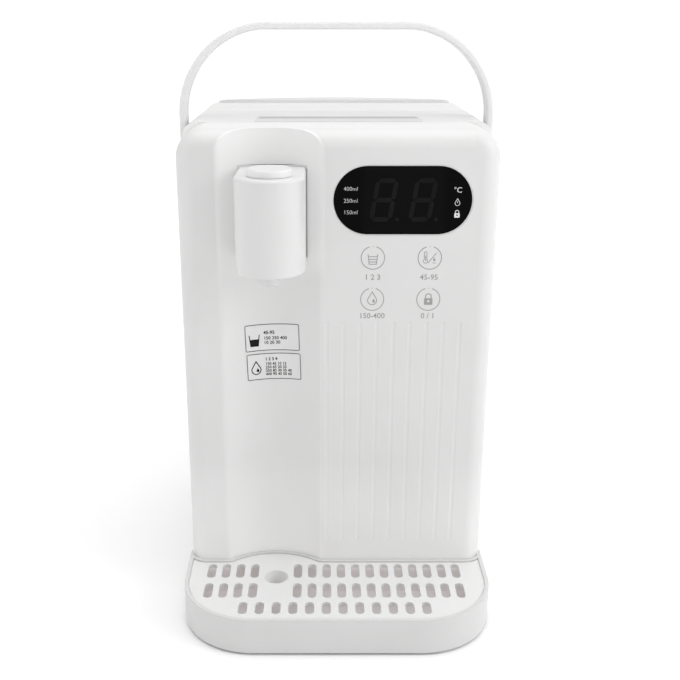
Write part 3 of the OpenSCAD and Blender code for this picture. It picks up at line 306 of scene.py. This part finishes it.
def white_panel():
    """White of the front panel, with painted light, given off as emission, over the tray, in the bay and in
    the grooves.
    """
    finish = white_abs("white_panel", 0.685)
    height = finish.axis(finish.place, "Z")
    ahead = finish.spread(finish.axis(finish.facing, "Y"), 1.0, 0.0, *PANEL_AHEAD)
    foot = finish.maths("MULTIPLY", ahead, finish.fade(height, FOOT_GLOW, 0.0, *FOOT_HEIGHTS))

    reach = finish.vector("LENGTH", finish.plan_from(BAY_X * MM, BAY_Y * MM))
    inside = finish.fade(reach, 1.0, 0.0, BAY_R + BAY_FADE[0], BAY_R + BAY_FADE[1])
    bay = finish.maths("MULTIPLY", inside, finish.fade(height, *BAY_GLOW, *BAY_HEIGHTS))

    sideways = finish.sideways_from(GROOVES_X * MM)
    aside = finish.fade(sideways, 1.0, 0.0, GROOVES_HALF, GROOVES_HALF + GROOVES_FADE)
    deepest = panel_low.y + GROOVE_DEPTH * MM
    depth = finish.spread(finish.axis(finish.place, "Y"), 0.0, GROOVE_GLOW, panel_low.y, deepest)
    # Painted highlight: groove walls that lean left get more of the painted light
    shaded = finish.spread(finish.axis(finish.facing, "X"), GROOVE_GAIN, 0.0, -GROOVE_LEAN, GROOVE_LEAN)
    shaded_depth = finish.maths("MULTIPLY", shaded, depth)
    grooves = finish.maths("MULTIPLY", finish.maths("MULTIPLY", aside, shaded_depth), ahead)

    hollows = finish.maths("MAXIMUM", bay, grooves)
    finish.glow(finish.maths("ADD", foot, hollows), GATHERED)
    return finish.material


def white_housing():
    """White of the housing, with painted light, given off as emission, on the front rim beside the panel's
    rounder corners.
    """
    finish = white_abs("white_housing", 0.66)
    ahead = finish.spread(finish.axis(finish.facing, "Y"), RIM_GLOW, 0.0, *RIM_AHEAD)
    start, end = (housing_low.y + depth * MM for depth in RIM_FADE)
    near = finish.spread(finish.axis(finish.place, "Y"), 1.0, 0.0, start, end)
    finish.glow(finish.maths("MULTIPLY", ahead, near), GATHERED)
    return finish.material


def white_tray():
    """White of the tray, with painted light, given off as emission, in the closed basin and in the gap round
    the grate.
    """
    finish = white_abs("white_tray", 0.645)
    outward = finish.plan_from(0, (tray_low.y + panel_low.y) / 2)
    inward = finish.vector("DOT_PRODUCT", outward, finish.facing)
    walls = finish.spread(inward, 1.0, 0.0, *BASIN_INWARD)
    bottom = finish.spread(finish.axis(finish.facing, "Z"), 0.0, 1.0, *BASIN_FLOOR)
    height = finish.axis(finish.place, "Z")
    basin = finish.fade(height, *BASIN_GLOW, *BASIN_HEIGHTS)
    below = finish.fade(height, 1.0, 0.0, BASIN_TOP, BASIN_TOP + BASIN_FADE)
    inner = finish.maths("MULTIPLY", finish.maths("MAXIMUM", walls, bottom), below)
    finish.glow(finish.maths("MULTIPLY", inner, basin), BASIN_GATHERED)
    return finish.material


def white_gloss():
    """Smoother white of the spout."""
    low, high = tint(0.6633, 0.003), tint(0.6767, 0.001)
    return moulded("white_gloss", low, high, SMOOTH, GRAIN_MM, depth_mm=0.002, edge_mm=0.4).material


# Window's gloss and mottle, and the sideways shift and soft edge of the digit module in millimetres
WINDOW_GLOSS = 0.04
WINDOW_MOTTLE = 0.2
MODULE_SHIFT = 0.7
MODULE_EDGE = (21.0, 26.0)


def black_gloss():
    """Smoked window: near black, with the digit module a little paler behind it."""
    finish = Finish("black_gloss")
    module = finish.fade(finish.sideways_from((WINDOW_X + MODULE_SHIFT) * MM), 1.0, 0.0, *MODULE_EDGE)
    mottle = finish.add("ShaderNodeMath", operation="MULTIPLY_ADD")
    finish.link(finish.noise(size_mm=6.0), mottle.inputs[0])
    mottle.inputs[1].default_value = WINDOW_MOTTLE
    finish.link(module, mottle.inputs[2])
    finish.colour(mottle.outputs["Value"], tint(0.0015, -0.03), tint(0.003, -0.02), start=0.1, end=1.0)
    finish.roughness(finish.noise(size_mm=9.0), 0.10, 0.16)
    finish.grain(finish.noise(size_mm=14.0, detail=1.0), depth_mm=0.004)
    finish.set(Specular_IOR_Level=WINDOW_GLOSS)
    return finish.material


def frosted_tank():
    """Milky tank, paler on its front faces as a painted highlight."""
    finish = white_with_painted_shading("frosted_tank", 0.66, 0.88, rough=(0.38, 0.50), axis="Y", side=-1)
    finish.set(Transmission_Weight=0.08, IOR=1.46)
    return finish.material


def black_plastic():
    """Black moulding."""
    low, high = tint(0.030), tint(0.046)
    finish = moulded("black_plastic", low, high, (0.42, 0.56), grain_mm=0.4, depth_mm=0.02, edge_mm=0.3)
    return finish.material


def silicone():
    """Soft, milky silicone."""
    low, high = tint(0.70, 0.01), tint(0.76, 0.006)
    finish = moulded("silicone", low, high, (0.45, 0.6), grain_mm=1.2, depth_mm=0.02)
    finish.set(Transmission_Weight=0.15)
    return finish.material


def rubber():
    """Matt black rubber."""
    low, high = tint(0.012), tint(0.022)
    return moulded("rubber", low, high, (0.62, 0.78), grain_mm=0.5, depth_mm=0.03, edge_mm=0.3).material


def steel():
    """Drawn steel."""
    low, high = tint(0.56, -0.01), tint(0.64, -0.006)
    finish = moulded("steel", low, high, (0.24, 0.38), grain_mm=0.25, depth_mm=0.006)
    finish.set(Metallic=1.0)
    return finish.material


def board():
    """Green lacquered board."""
    low, high = (0.012, 0.075, 0.030, 1), (0.020, 0.11, 0.045, 1)
    return moulded("board", low, high, (0.25, 0.4), grain_mm=1.5, depth_mm=0.02).material


def ink(name, value):
    """Printed ink of that grey."""
    low, high = tint(value * 0.97), tint(value * 1.03)
    finish = moulded(name, low, high, (0.4, 0.5), grain_mm=0.3, depth_mm=0.002, drift_mm=6.0)
    finish.set(Specular_IOR_Level=0.12)
    return finish.material


SLOT_FINISHES = {
    "white_abs": white_abs("white_abs", 0.70).material,
    "white_gloss": white_gloss(),
    "black_gloss": black_gloss(),
    "frosted_tank": frosted_tank(),
    "black_plastic": black_plastic(),
    "silicone": silicone(),
    "rubber": rubber(),
    "steel": steel(),
    "board": board(),
}


# Nodes whose white differs from that of their slot: partly their own tone, partly painted light or shade that
# sets how bright each part comes out
NODE_FINISHES = {
    "front_panel": white_panel(),
    "main_housing": white_housing(),
    # Handle: its upward faces are painted darker, a painted shade
    "handle_bail": white_with_painted_shading("white_handle_painted_top_shade", 0.79, 0.66, edge_mm=0.0).material,
    "handle_pins": white_abs("white_pins", 0.78).material,
    "drip_tray": white_tray(),
    "drip_grate": white_abs("white_grate", 0.745).material,
    "tank_lid": white_abs("white_lid", 0.645).material,
    # Spout cap: its upward faces are painted darker, a painted shade
    "spout_cap": white_with_painted_shading("white_cap_painted_top_shade", 0.82, 0.69, SMOOTH).material,
}


def dress_frame():
    """Gives every CAD node its finish."""
    for row in frame["record"]["subparts"]:
        mesh = frame["nodes"][row["node"]].data
        mesh.materials.clear()
        mesh.materials.append(NODE_FINISHES.get(row["node"], SLOT_FINISHES[row["material_slot"]]))


# Surfaces that carry prints: (u, v, lift) in millimetres to a place in metres


def on_panel(u, v, lift):
    return Vector((u * MM, panel_low.y - lift * MM, v * MM))


def on_window(u, v, lift):
    return Vector((u * MM, window_low.y - lift * MM, v * MM))


def on_bay(u, v, lift):
    """u is the arc from the bay's deepest line."""
    angle = u / BAY_R
    radius = BAY_R - lift
    return Vector(((BAY_X + radius * math.sin(angle)) * MM, (BAY_Y + radius * math.cos(angle)) * MM, v * MM))


def on_top(u, v, lift):
    return Vector((u * MM, v * MM, housing_high.z + lift * MM))


# Flat shapes


def arc(cx, cy, r, start, end, steps):
    turns = [start + (end - start) * k / steps for k in range(steps + 1)]
    return [(cx + r * math.cos(turn), cy + r * math.sin(turn)) for turn in turns]


def circle(cx, cy, r, steps):
    return arc(cx, cy, r, 0, 2 * math.pi, steps)[:-1]


def open_ring(cx, cy, r, gap, steps):
    """Circle that leaves out the angle gap on each side of its top."""
    return arc(cx, cy, r, math.pi / 2 + gap, math.pi * 2.5 - gap, steps)


def rounded_box(cx, cy, w, h, r):
    points = []
    for sx, sy, start in ((1, 1, 0), (-1, 1, 90), (-1, -1, 180), (1, -1, 270)):
        a = math.radians(start)
        points += arc(cx + sx * (w / 2 - r), cy + sy * (h / 2 - r), r, a, a + math.pi / 2, steps=6)
    return points


def drop(cx, cy, r, tip, steps=40):
    """Outline of a drop: a circle about (cx, cy) drawn out to a tip that far above it."""
    return open_ring(cx, cy, r, math.acos(r / tip), steps) + [(cx, cy + tip)]


def open_cup(u, base, rim, foot, mouth):
    """Outline of a cup that is open at its rim, with its half widths at foot and mouth."""
    return [(u - mouth, rim), (u - foot, base), (u + foot, base), (u + mouth, rim)]


# Meshes


def new_object(name, bm, material):
    """Object with one material, made from a finished bmesh, which is freed."""
    mesh = bpy.data.meshes.new(name)
    bm.to_mesh(mesh)
    bm.free()
    mesh.materials.append(material)
    made = bpy.data.objects.new(name, mesh)
    bpy.context.scene.collection.objects.link(made)
    return made


class Print:
    """Flat shapes on one sheet, raised by a film's thickness and laid on a surface."""

    # Limit on how far a mitre reaches, and the gap in millimetres that is welded
    MITRE_LEAST = 0.35
    WELD = 1e-4

    def __init__(self):
        self.bm = bmesh.new()

    def fill(self, *outlines):
        """Fills the first outline, with the others as holes in it."""
        edges = []
        for outline in outlines:
            verts = [self.bm.verts.new((u, v, 0)) for u, v in outline]
            edges += [self.bm.edges.new((a, b)) for a, b in zip(verts, verts[1:] + verts[:1])]
        bmesh.ops.triangle_fill(self.bm, use_beauty=True, use_dissolve=False, edges=edges)
        return self

    def line(self, points, width, closed=False):
        """Band of that width along the points, with mitred corners."""
        points = [Vector(p) for p in points]
        count = len(points)
        sides = []
        for k, here in enumerate(points):
            before = points[k - 1] if k > 0 or closed else None
            after = points[(k + 1) % count] if k < count - 1 or closed else None
            into = (here - before).normalized() if before is not None else (after - here).normalized()
            out = (after - here).normalized() if after is not None else into
            normal = Vector((-into.y - out.y, into.x + out.x)).normalized()
            reach = width / 2 / max(self.MITRE_LEAST, normal.dot(Vector((-into.y, into.x))))
            sides.append([self.bm.verts.new((*(here + normal * s * reach), 0)) for s in (1, -1)])
        pairs = zip(sides, sides[1:] + sides[:1]) if closed else zip(sides, sides[1:])
        for (a, b), (c, d) in pairs:
            self.bm.faces.new((a, b, d, c))
        return self

    def text(self, body, u, v, size, weight=0.0, align="CENTER"):
        """Sets numbers or a unit at (u, v), with strokes thickened or thinned by the weight."""
        curve = bpy.data.curves.new("caption", "FONT")
        curve.body = body
        curve.size = size
        curve.offset = weight
        curve.resolution_u = 3
        curve.align_x = align
        curve.align_y = "CENTER"
        holder = bpy.data.objects.new("caption", curve)
        bpy.context.scene.collection.objects.link(holder)
        shown = holder.evaluated_get(bpy.context.evaluated_depsgraph_get())
        mesh = bpy.data.meshes.new_from_object(shown)
        before = set(self.bm.verts)
        self.bm.from_mesh(mesh)
        for vert in self.bm.verts:
            if vert not in before:
                vert.co = (vert.co.x + u, vert.co.y + v, 0)
        bpy.data.objects.remove(holder)
        bpy.data.curves.remove(curve)
        bpy.data.meshes.remove(mesh)
        return self

    def turn(self, degrees, u, v):
        """Turns the whole sheet about (u, v)."""
        c, s = math.cos(math.radians(degrees)), math.sin(math.radians(degrees))
        for vert in self.bm.verts:
            x, y = vert.co.x - u, vert.co.y - v
            vert.co = (u + c * x - s * y, v + s * x + c * y, vert.co.z)
        return self

    def slice(self, step):
        """Cuts the sheet across u at every step, so that it can follow a curved wall."""
        us = [vert.co.x for vert in self.bm.verts]
        for k in range(math.ceil(min(us) / step), math.floor(max(us) / step) + 1):
            geometry = self.bm.verts[:] + self.bm.edges[:] + self.bm.faces[:]
            bmesh.ops.bisect_plane(self.bm, geom=geometry, plane_co=(k * step, 0, 0), plane_no=(1, 0, 0))
        return self

    def lay(self, name, surface, material, lift=0.0, thickness=INK_T):
        """Raises the shapes to a closed film whose underside is lift above the surface."""
        bmesh.ops.remove_doubles(self.bm, verts=self.bm.verts[:], dist=self.WELD)
        raised = bmesh.ops.extrude_face_region(self.bm, geom=self.bm.faces[:])
        for item in raised["geom"]:
            if isinstance(item, bmesh.types.BMVert):
                item.co.z = thickness
        for vert in self.bm.verts:
            vert.co = surface(vert.co.x, vert.co.y, vert.co.z + lift)
        bmesh.ops.recalc_face_normals(self.bm, faces=self.bm.faces[:])
        piece = new_object(name, self.bm, material)
        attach(piece, "body")
        return piece


# Touch keys, placed about the middle of the window, in millimetres

KEY_DROP = 34.2
KEY_PITCH_X = 33.8
KEY_PITCH_Z = 25.6
KEY_R = 6.95
KEY_LINE = 0.55
KEY_DOT_R = KEY_LINE * 0.55
KEY_GAP = math.radians(17)
CAPTIONS = (("1 2 3", "45-95"), ("150-400", "0 / 1"))
CAPTION_DROPS = (12.0, 10.5)
CAPTION_SIZE = 4.7
CAPTION_WEIGHT = 0.05


def draw_beaker(sheet, u, v):
    """Beaker with three level marks."""
    mouth, foot, rim, base = 2.9, 2.15, 2.2, -3.9
    sheet.line(open_cup(u, v + base, v + rim, foot, mouth), KEY_LINE)
    for level in (0.7, -0.95, -2.5):
        half = foot + (mouth - foot) * (level - base) / (rim - base) - KEY_LINE / 2
        sheet.line([(u - half, v + level), (u + half, v + level)], KEY_LINE)


def draw_thermometer(sheet, u, v):
    """Thermometer on the left of a slash, and a small drop over a line on its right."""
    stem_u, stem_top, bulb_v, bulb_r, stem_r = u - 2.5, v + 3.7, v - 2.0, 1.25, 0.75
    glass, stroke, column = 0.45, 0.5, 3.4
    outline = arc(stem_u, stem_top - stem_r, stem_r, 0, math.pi, steps=16)
    outline += open_ring(stem_u, bulb_v, bulb_r, math.asin(stem_r / bulb_r), steps=28)
    sheet.line(outline, glass, closed=True)
    sheet.line([(stem_u, bulb_v), (stem_u, bulb_v + column)], stroke)
    slash = [(u - 1.0, v - 3.2), (u + 3.9, v + 3.0)]
    sheet.line(slash, stroke)
    sheet.fill(drop(u + 2.7, v - 1.3, r=0.75, tip=1.6, steps=20))
    level = [(u + 1.8, v - 3.1), (u + 3.7, v - 3.1)]
    sheet.line(level, stroke)


def draw_drop(sheet, u, v):
    """Drop with a smaller one in it."""
    sheet.line(drop(u, v - 0.7, r=2.7, tip=5.3), KEY_LINE, closed=True)
    sheet.fill(drop(u + 0.9, v - 1.3, r=0.85, tip=1.8, steps=24))


def draw_padlock(sheet, u, v, scale=1.0):
    """Closed padlock with a round hole."""
    body_w, body_h, body_v = 5.1 * scale, 4.2 * scale, v - 1.4 * scale
    corner, hole_r, rod = 0.5 * scale, 0.75 * scale, 0.65 * scale
    body = rounded_box(u, body_v, body_w, body_h, corner)
    hole = circle(u, body_v + 0.2 * scale, hole_r, steps=20)
    sheet.fill(body, hole)
    leg, foot, crown = 1.65 * scale, body_v + body_h / 2, v + 1.8 * scale
    shackle = [(u + leg, foot)] + arc(u, crown, leg, 0, math.pi, steps=20) + [(u - leg, foot)]
    sheet.line(shackle, rod)


def touch_keys():
    """Four keys: an open ring with a dot, a sign in it and plain numbers below."""
    grey = ink("key_ink", 0.34)
    icons = ((draw_beaker, draw_thermometer), (draw_drop, draw_padlock))
    for row in range(2):
        for column in range(2):
            u = WINDOW_X + (column - 0.5) * KEY_PITCH_X
            v = WINDOW_Z - KEY_DROP - row * KEY_PITCH_Z
            sheet = Print()
            sheet.line(open_ring(u, v, KEY_R, KEY_GAP, steps=90), KEY_LINE)
            sheet.fill(circle(u, v + KEY_R, KEY_DOT_R, steps=16))
            icons[row][column](sheet, u, v)
            sheet.text(CAPTIONS[row][column], u, v - CAPTION_DROPS[row], CAPTION_SIZE, CAPTION_WEIGHT)
            piece = sheet.lay(f"key_print_{row}{column}", on_panel, grey)


# Display: unlit digits and pale marks, placed about the middle of the window, in millimetres

DIGIT_W = 13.4
DIGIT_H = 25.4
DIGIT_PITCH = 22.9
DIGITS_SHIFT = (0.4, 0.2)
DIGIT_LEAN = math.tan(math.radians(9.5))
SEGMENT_T = 2.7
SEGMENT_GAP = 0.3

# Place and radius of the point after a digit, as shares of a segment's thickness
POINT_OUT = 0.95
POINT_R = 0.42

MARKS_LEFT = -30.4
MARKS_RIGHT = 31.9
AMOUNTS = (("400ml", 6.7), ("250ml", -0.3), ("150ml", -7.1))
AMOUNT_SIZE = 3.4
AMOUNT_WEIGHT = -0.05
UNIT_RISE = 6.0
UNIT_SIZE = 4.5
DROP_RISE = -1.6
DROP_LINE = 0.3
DROP_STROKE = (0.1, 1.2)
LOCK_RISE = -7.9
LOCK_SCALE = 0.62


def segment(sheet, a, b, lean_v):
    """Six-sided bar from a to b, leaning about the height lean_v."""
    along = (Vector(b) - Vector(a)).normalized()
    across = Vector((-along.y, along.x)) * SEGMENT_T / 2
    start = Vector(a) + along * SEGMENT_GAP
    end = Vector(b) - along * SEGMENT_GAP
    shoulder = along * SEGMENT_T / 2
    corners = (
        start,
        start + shoulder + across,
        end - shoulder + across,
        end,
        end - shoulder - across,
        start + shoulder - across,
    )
    sheet.fill([(p.x + (p.y - lean_v) * DIGIT_LEAN, p.y) for p in corners])


def ghost_digits():
    """The unlit digits that show through the smoked window."""
    sheet = Print()
    half_w, half_h = (DIGIT_W - SEGMENT_T) / 2, (DIGIT_H - SEGMENT_T) / 2
    for k in range(2):
        u, v = WINDOW_X + DIGITS_SHIFT[0] + (k - 0.5) * DIGIT_PITCH, WINDOW_Z + DIGITS_SHIFT[1]
        for level in (-half_h, 0, half_h):
            segment(sheet, (u - half_w, v + level), (u + half_w, v + level), v)
        for side in (-half_w, half_w):
            segment(sheet, (u + side, v - half_h), (u + side, v), v)
            segment(sheet, (u + side, v), (u + side, v + half_h), v)
        point_u = u + half_w + SEGMENT_T * POINT_OUT
        sheet.fill(circle(point_u, v - half_h, SEGMENT_T * POINT_R, steps=24))
    low, high = tint(0.0075), tint(0.010)
    finish = moulded("ghost_segment", low, high, (0.14, 0.2), grain_mm=2.0, depth_mm=0.002, drift_mm=12.0)
    finish.set(Specular_IOR_Level=WINDOW_GLOSS)
    sheet.lay("display_segments", on_window, finish.material, thickness=DIGIT_T)


def window_marks():
    """Small pale marks printed on the window: amounts on the left, signs on the right."""
    left, right = WINDOW_X + MARKS_LEFT, WINDOW_X + MARKS_RIGHT
    sheet = Print()
    for amount, rise in AMOUNTS:
        sheet.text(amount, left, WINDOW_Z + rise, AMOUNT_SIZE, AMOUNT_WEIGHT)
    sheet.text("°C", right, WINDOW_Z + UNIT_RISE, UNIT_SIZE)
    drop_v = WINDOW_Z + DROP_RISE
    sheet.line(drop(right, drop_v, r=1.4, tip=2.7, steps=32), DROP_LINE, closed=True)
    sheet.line([(right, drop_v + rise) for rise in DROP_STROKE], DROP_LINE)
    draw_padlock(sheet, right, WINDOW_Z + LOCK_RISE, LOCK_SCALE)
    sheet.lay("window_marks", on_window, ink("window_ink", 0.70))


# Stickers, in millimetres

STICKER_W = 34.5
STICKER_H = 17.4
STICKER_CORNER = 0.8
STICKER_LINE = 0.5
STICKER_STEP = 1.5
STICKER_INKS = {"border": 0.10, "sign": 0.004, "note": 0.01}
SIGN_U = -11.4
NOTE_U = -5.5
NOTE_WEIGHT = 0.06
CUP_NOTES = ("150 250 400", "10 20 30")
DROP_NOTES = ("150 45 10 15", "250 65 20 25", "350 85 30 35 40", "400 95 45 50 60")


def bay_sticker(name, u, v, lean, draw):
    """Sticker on the bay's round wall: a white film with a thin border and a plain print."""
    film = Print().fill(rounded_box(u, v, STICKER_W, STICKER_H, STICKER_CORNER))
    film.turn(lean, u, v).slice(STICKER_STEP)
    film_finish = moulded(
        f"{name}_film", tint(0.71), tint(0.73), (0.3, 0.36), grain_mm=1.0, depth_mm=0.004, drift_mm=10.0
    )
    film.lay(f"{name}_film", on_bay, film_finish.material, thickness=STICKER_T)
    sheets = {part: Print() for part in STICKER_INKS}
    border_w, border_h = STICKER_W - STICKER_LINE, STICKER_H - STICKER_LINE
    sheets["border"].line(rounded_box(u, v, border_w, border_h, STICKER_CORNER), STICKER_LINE, closed=True)
    draw(sheets["sign"], sheets["note"], u, v)
    for part, sheet in sheets.items():
        sheet.turn(lean, u, v).slice(STICKER_STEP)
        print_ink = ink(f"{name}_{part}_ink", STICKER_INKS[part])
        piece = sheet.lay(f"{name}_{part}", on_bay, print_ink, lift=STICKER_T)


def write_rows(notes, rows, u, v, pitch, size):
    """Rows of numbers below each other, the first one at the height v."""
    for k, row in enumerate(rows):
        notes.text(row, u + NOTE_U, v - pitch * k, size, NOTE_WEIGHT, "LEFT")


def draw_cup_notes(signs, notes, u, v):
    """Cup that is part full, beside three rows of numbers."""
    cup_u, base, rim, level = u + SIGN_U, v - 5.3, v + 2.0, v - 0.9
    signs.line(open_cup(cup_u, base, rim, foot=2.4, mouth=3.2), width=0.6)
    signs.fill(open_cup(cup_u, base, level, foot=2.2, mouth=2.75))
    signs.text("45-95", u + NOTE_U, v + 3.0, size=3.0, weight=0.09, align="LEFT")
    write_rows(notes, CUP_NOTES, u, v - 0.6, pitch=2.9, size=2.9)


def draw_drop_notes(signs, notes, u, v):
    """Drop with a smaller one in it, beside five rows of numbers."""
    drop_u = u + SIGN_U
    signs.line(drop(drop_u, v - 2.0, r=2.9, tip=5.6), width=0.65, closed=True)
    signs.fill(drop(drop_u + 1.0, v - 2.6, r=0.9, tip=1.9, steps=24))
    signs.text("1 2 3 4", u + NOTE_U, v + 4.7, size=2.7, weight=0.08, align="LEFT")
    write_rows(notes, DROP_NOTES, u, v + 1.6, pitch=2.3, size=2.5)


def top_plate():
    """Bare plate on the housing's flat top, just behind the front panel's seam, with a painted shadow as a
    darker bar along its far edge.
    """
    u, w, d, setback, corner = 1.0, 104.0, 33.0, 2.0, 1.5
    v = housing_low.y / MM + setback + d / 2
    film = Print().fill(rounded_box(u, v, w, d, corner))
    low, high = tint(0.54), tint(0.57)
    finish = moulded("top_plate_film", low, high, (0.3, 0.38), grain_mm=1.0, depth_mm=0.004, drift_mm=14.0)
    film.lay("top_plate", on_top, finish.material, thickness=STICKER_T)
    # Darker bar along the plate's far edge: a painted shadow
    bar_w, bar_d, bar_inset, bar_corner = w - 3.0, 12.0, 1.0, 1.0
    bar = Print().fill(rounded_box(u, v + (d - bar_d) / 2 - bar_inset, bar_w, bar_d, bar_corner))
    bar.lay("top_plate_painted_shadow", on_top, ink("plate_painted_shadow_ink", 0.43), lift=STICKER_T)


# Lip in the gap round the spout block, in millimetres: the gap, the lip's clearance on both sides, how far it
# is sunk below the bay's wall in general and on the right, and its thickness

LIP_GAP = 0.8
LIP_CLEAR = 0.04
LIP_SINK = 0.1
LIP_SINK_RIGHT = 1.0
LIP_T = 1.2

# Corner radii of the spout block, at its top and at its foot
SPOUT_EDGE = 2.0
SPOUT_FOOT = 1.0


def lip_outline(steps=8):
    """Pairs of points (x, z): on the block's rounded outline and on the square opening round it."""
    left, right = spout_low.x / MM, spout_high.x / MM
    low, high = spout_low.z / MM, spout_high.z / MM
    corners = (
        (right - SPOUT_EDGE, high - SPOUT_EDGE, SPOUT_EDGE),
        (left + SPOUT_EDGE, high - SPOUT_EDGE, SPOUT_EDGE),
        (left + SPOUT_FOOT, low + SPOUT_FOOT, SPOUT_FOOT),
        (right - SPOUT_FOOT, low + SPOUT_FOOT, SPOUT_FOOT),
    )
    pairs = []
    for quarter, (x, z, r) in enumerate(corners):
        for k in range(steps + 1):
            turn = math.pi / 2 * (quarter + k / steps)
            out = Vector((math.cos(turn), math.sin(turn)))
            square = out / max(abs(out.x), abs(out.y))
            centre = Vector((x, z))
            pairs.append((centre + out * (r + LIP_CLEAR), centre + square * (r + LIP_GAP - LIP_CLEAR)))
    return pairs


def spout_lip():
    """Ring between the block and the bay's round wall, sunk deeper along its right side."""
    right = spout_high.x / MM
    bm = bmesh.new()
    rings = []
    for inner, outer in lip_outline():
        sink = LIP_SINK_RIGHT if inner.x > right else LIP_SINK
        ring = []
        for (x, z), depth in ((inner, sink), (outer, sink), (outer, sink + LIP_T), (inner, sink + LIP_T)):
            y = BAY_Y + math.sqrt(BAY_R ** 2 - (x - BAY_X) ** 2) + depth
            ring.append(bm.verts.new((x * MM, y * MM, z * MM)))
        rings.append(ring)
    for here, after in zip(rings, rings[1:] + rings[:1]):
        for k in range(4):
            bm.faces.new((here[k], here[(k + 1) % 4], after[(k + 1) % 4], after[k]))
    bmesh.ops.recalc_face_normals(bm, faces=bm.faces[:])
    finish = moulded("white_lip", tint(0.68), tint(0.70), SATIN, GRAIN_MM, depth_mm=0.004)
    piece = new_object("spout_lip", bm, finish.material)
    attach(piece, "body")


# Studio, in metres and watts

# Rings of the floor, and the light that it gives off near the object and far from it
FLOOR_RADII = (0.4, 0.8, 1.6, 3.0, 6.0, 12.0, 30.0)
FLOOR_STEPS = 96
FLOOR_GLOW = (0.0, 0.42)
FLOOR_GLOW_REACH = (0.5, 2.5)

# Direction of the surround's bright side, and how far a ray follows it between the two strengths
SKY_LEAN = (0.15, 1.0, -0.2)
SKY_FADE = (0.55, 0.85)
SKY_STRENGTH = (0.62, 1.03)

# Point that every lamp looks at, and the name, place, side of the square and power of each lamp
LAMP_TARGET = (0, 0, 0.2)
LAMPS = (
    ("overhead", (0.0, 0.1, 2.2), 2.4, 28.7),
    ("right_fill", (1.5, -0.5, 0.9), 1.0, 10.2),
    ("left_fill", (-1.5, -0.5, 0.9), 1.0, 3.0),
)


def studio_floor():
    """Wide pale floor that stays white into the distance."""
    turns = [2 * math.pi * k / FLOOR_STEPS for k in range(FLOOR_STEPS)]
    bm = bmesh.new()
    centre = bm.verts.new((0, 0, 0))
    rings = [[bm.verts.new((r * math.cos(t), r * math.sin(t), 0)) for t in turns] for r in FLOOR_RADII]
    for k in range(FLOOR_STEPS):
        after = (k + 1) % FLOOR_STEPS
        bm.faces.new((centre, rings[0][k], rings[0][after]))
        for inner, outer in zip(rings, rings[1:]):
            bm.faces.new((inner[k], outer[k], outer[after], inner[after]))
    low, high = tint(0.955), tint(0.965)
    finish = moulded("studio_paper", low, high, (0.85, 0.95), grain_mm=3.0, depth_mm=0.01, drift_mm=400.0)
    reach = finish.vector("LENGTH", finish.place)
    finish.glow(finish.spread(reach, *FLOOR_GLOW, *FLOOR_GLOW_REACH), (1, 1, 1, 1))
    finish.set(Specular_IOR_Level=0.1)
    floor = new_object("studio_floor", bm, finish.material)


def soft_light(name, place, side, power):
    """Square lamp that looks at the object's middle."""
    light = bpy.data.lights.new(name, "AREA")
    light.shape = "SQUARE"
    light.size = side
    light.energy = power
    holder = bpy.data.objects.new(name, light)
    holder.location = place
    holder.rotation_euler = (Vector(LAMP_TARGET) - Vector(place)).to_track_quat("-Z", "Y").to_euler()
    bpy.context.scene.collection.objects.link(holder)


def studio_light():
    """White surround that is brightest behind the object, a large lamp overhead and a fill on each side."""
    world = bpy.data.worlds.new("studio")
    bpy.context.scene.world = world
    world.use_nodes = True
    nodes, links = world.node_tree.nodes, world.node_tree.links
    lean = nodes.new("ShaderNodeVectorMath")
    lean.operation = "DOT_PRODUCT"
    lean.inputs[1].default_value = SKY_LEAN
    links.new(nodes.new("ShaderNodeTexCoord").outputs["Generated"], lean.inputs[0])
    fade = nodes.new("ShaderNodeMapRange")
    fade.inputs["From Min"].default_value = SKY_FADE[0]
    fade.inputs["From Max"].default_value = SKY_FADE[1]
    fade.inputs["To Min"].default_value = SKY_STRENGTH[0]
    fade.inputs["To Max"].default_value = SKY_STRENGTH[1]
    links.new(lean.outputs["Value"], fade.inputs["Value"])
    sky = nodes["Background"]
    sky.inputs["Color"].default_value = (1, 1, 1, 1)
    links.new(fade.outputs["Result"], sky.inputs["Strength"])
    for lamp in LAMPS:
        soft_light(*lamp)
    bpy.context.scene.view_settings.view_transform = "Standard"


def photo_camera():
    """Camera at the photograph's place, with its focal length and shift."""
    data = bpy.data.cameras.new("photo_camera")
    data.sensor_width = SENSOR_MM
    data.lens = SENSOR_MM * FOCAL_PX / IMAGE_SIZE
    data.shift_x = (IMAGE_SIZE / 2 - CENTRE_PX) / IMAGE_SIZE
    camera = bpy.data.objects.new("photo_camera", data)
    camera.location = CAMERA_PLACE
    camera.rotation_euler = (math.pi / 2 - CAMERA_PITCH, 0, 0)
    bpy.context.scene.collection.objects.link(camera)
    bpy.context.scene.camera = camera


dress_frame()
touch_keys()
ghost_digits()
window_marks()
bay_sticker("cup_sticker", u=-0.4, v=175.2, lean=1.7, draw=draw_cup_notes)
bay_sticker("drop_sticker", u=0.5, v=156.1, lean=1.9, draw=draw_drop_notes)
top_plate()
spout_lip()
studio_floor()
studio_light()
photo_camera()
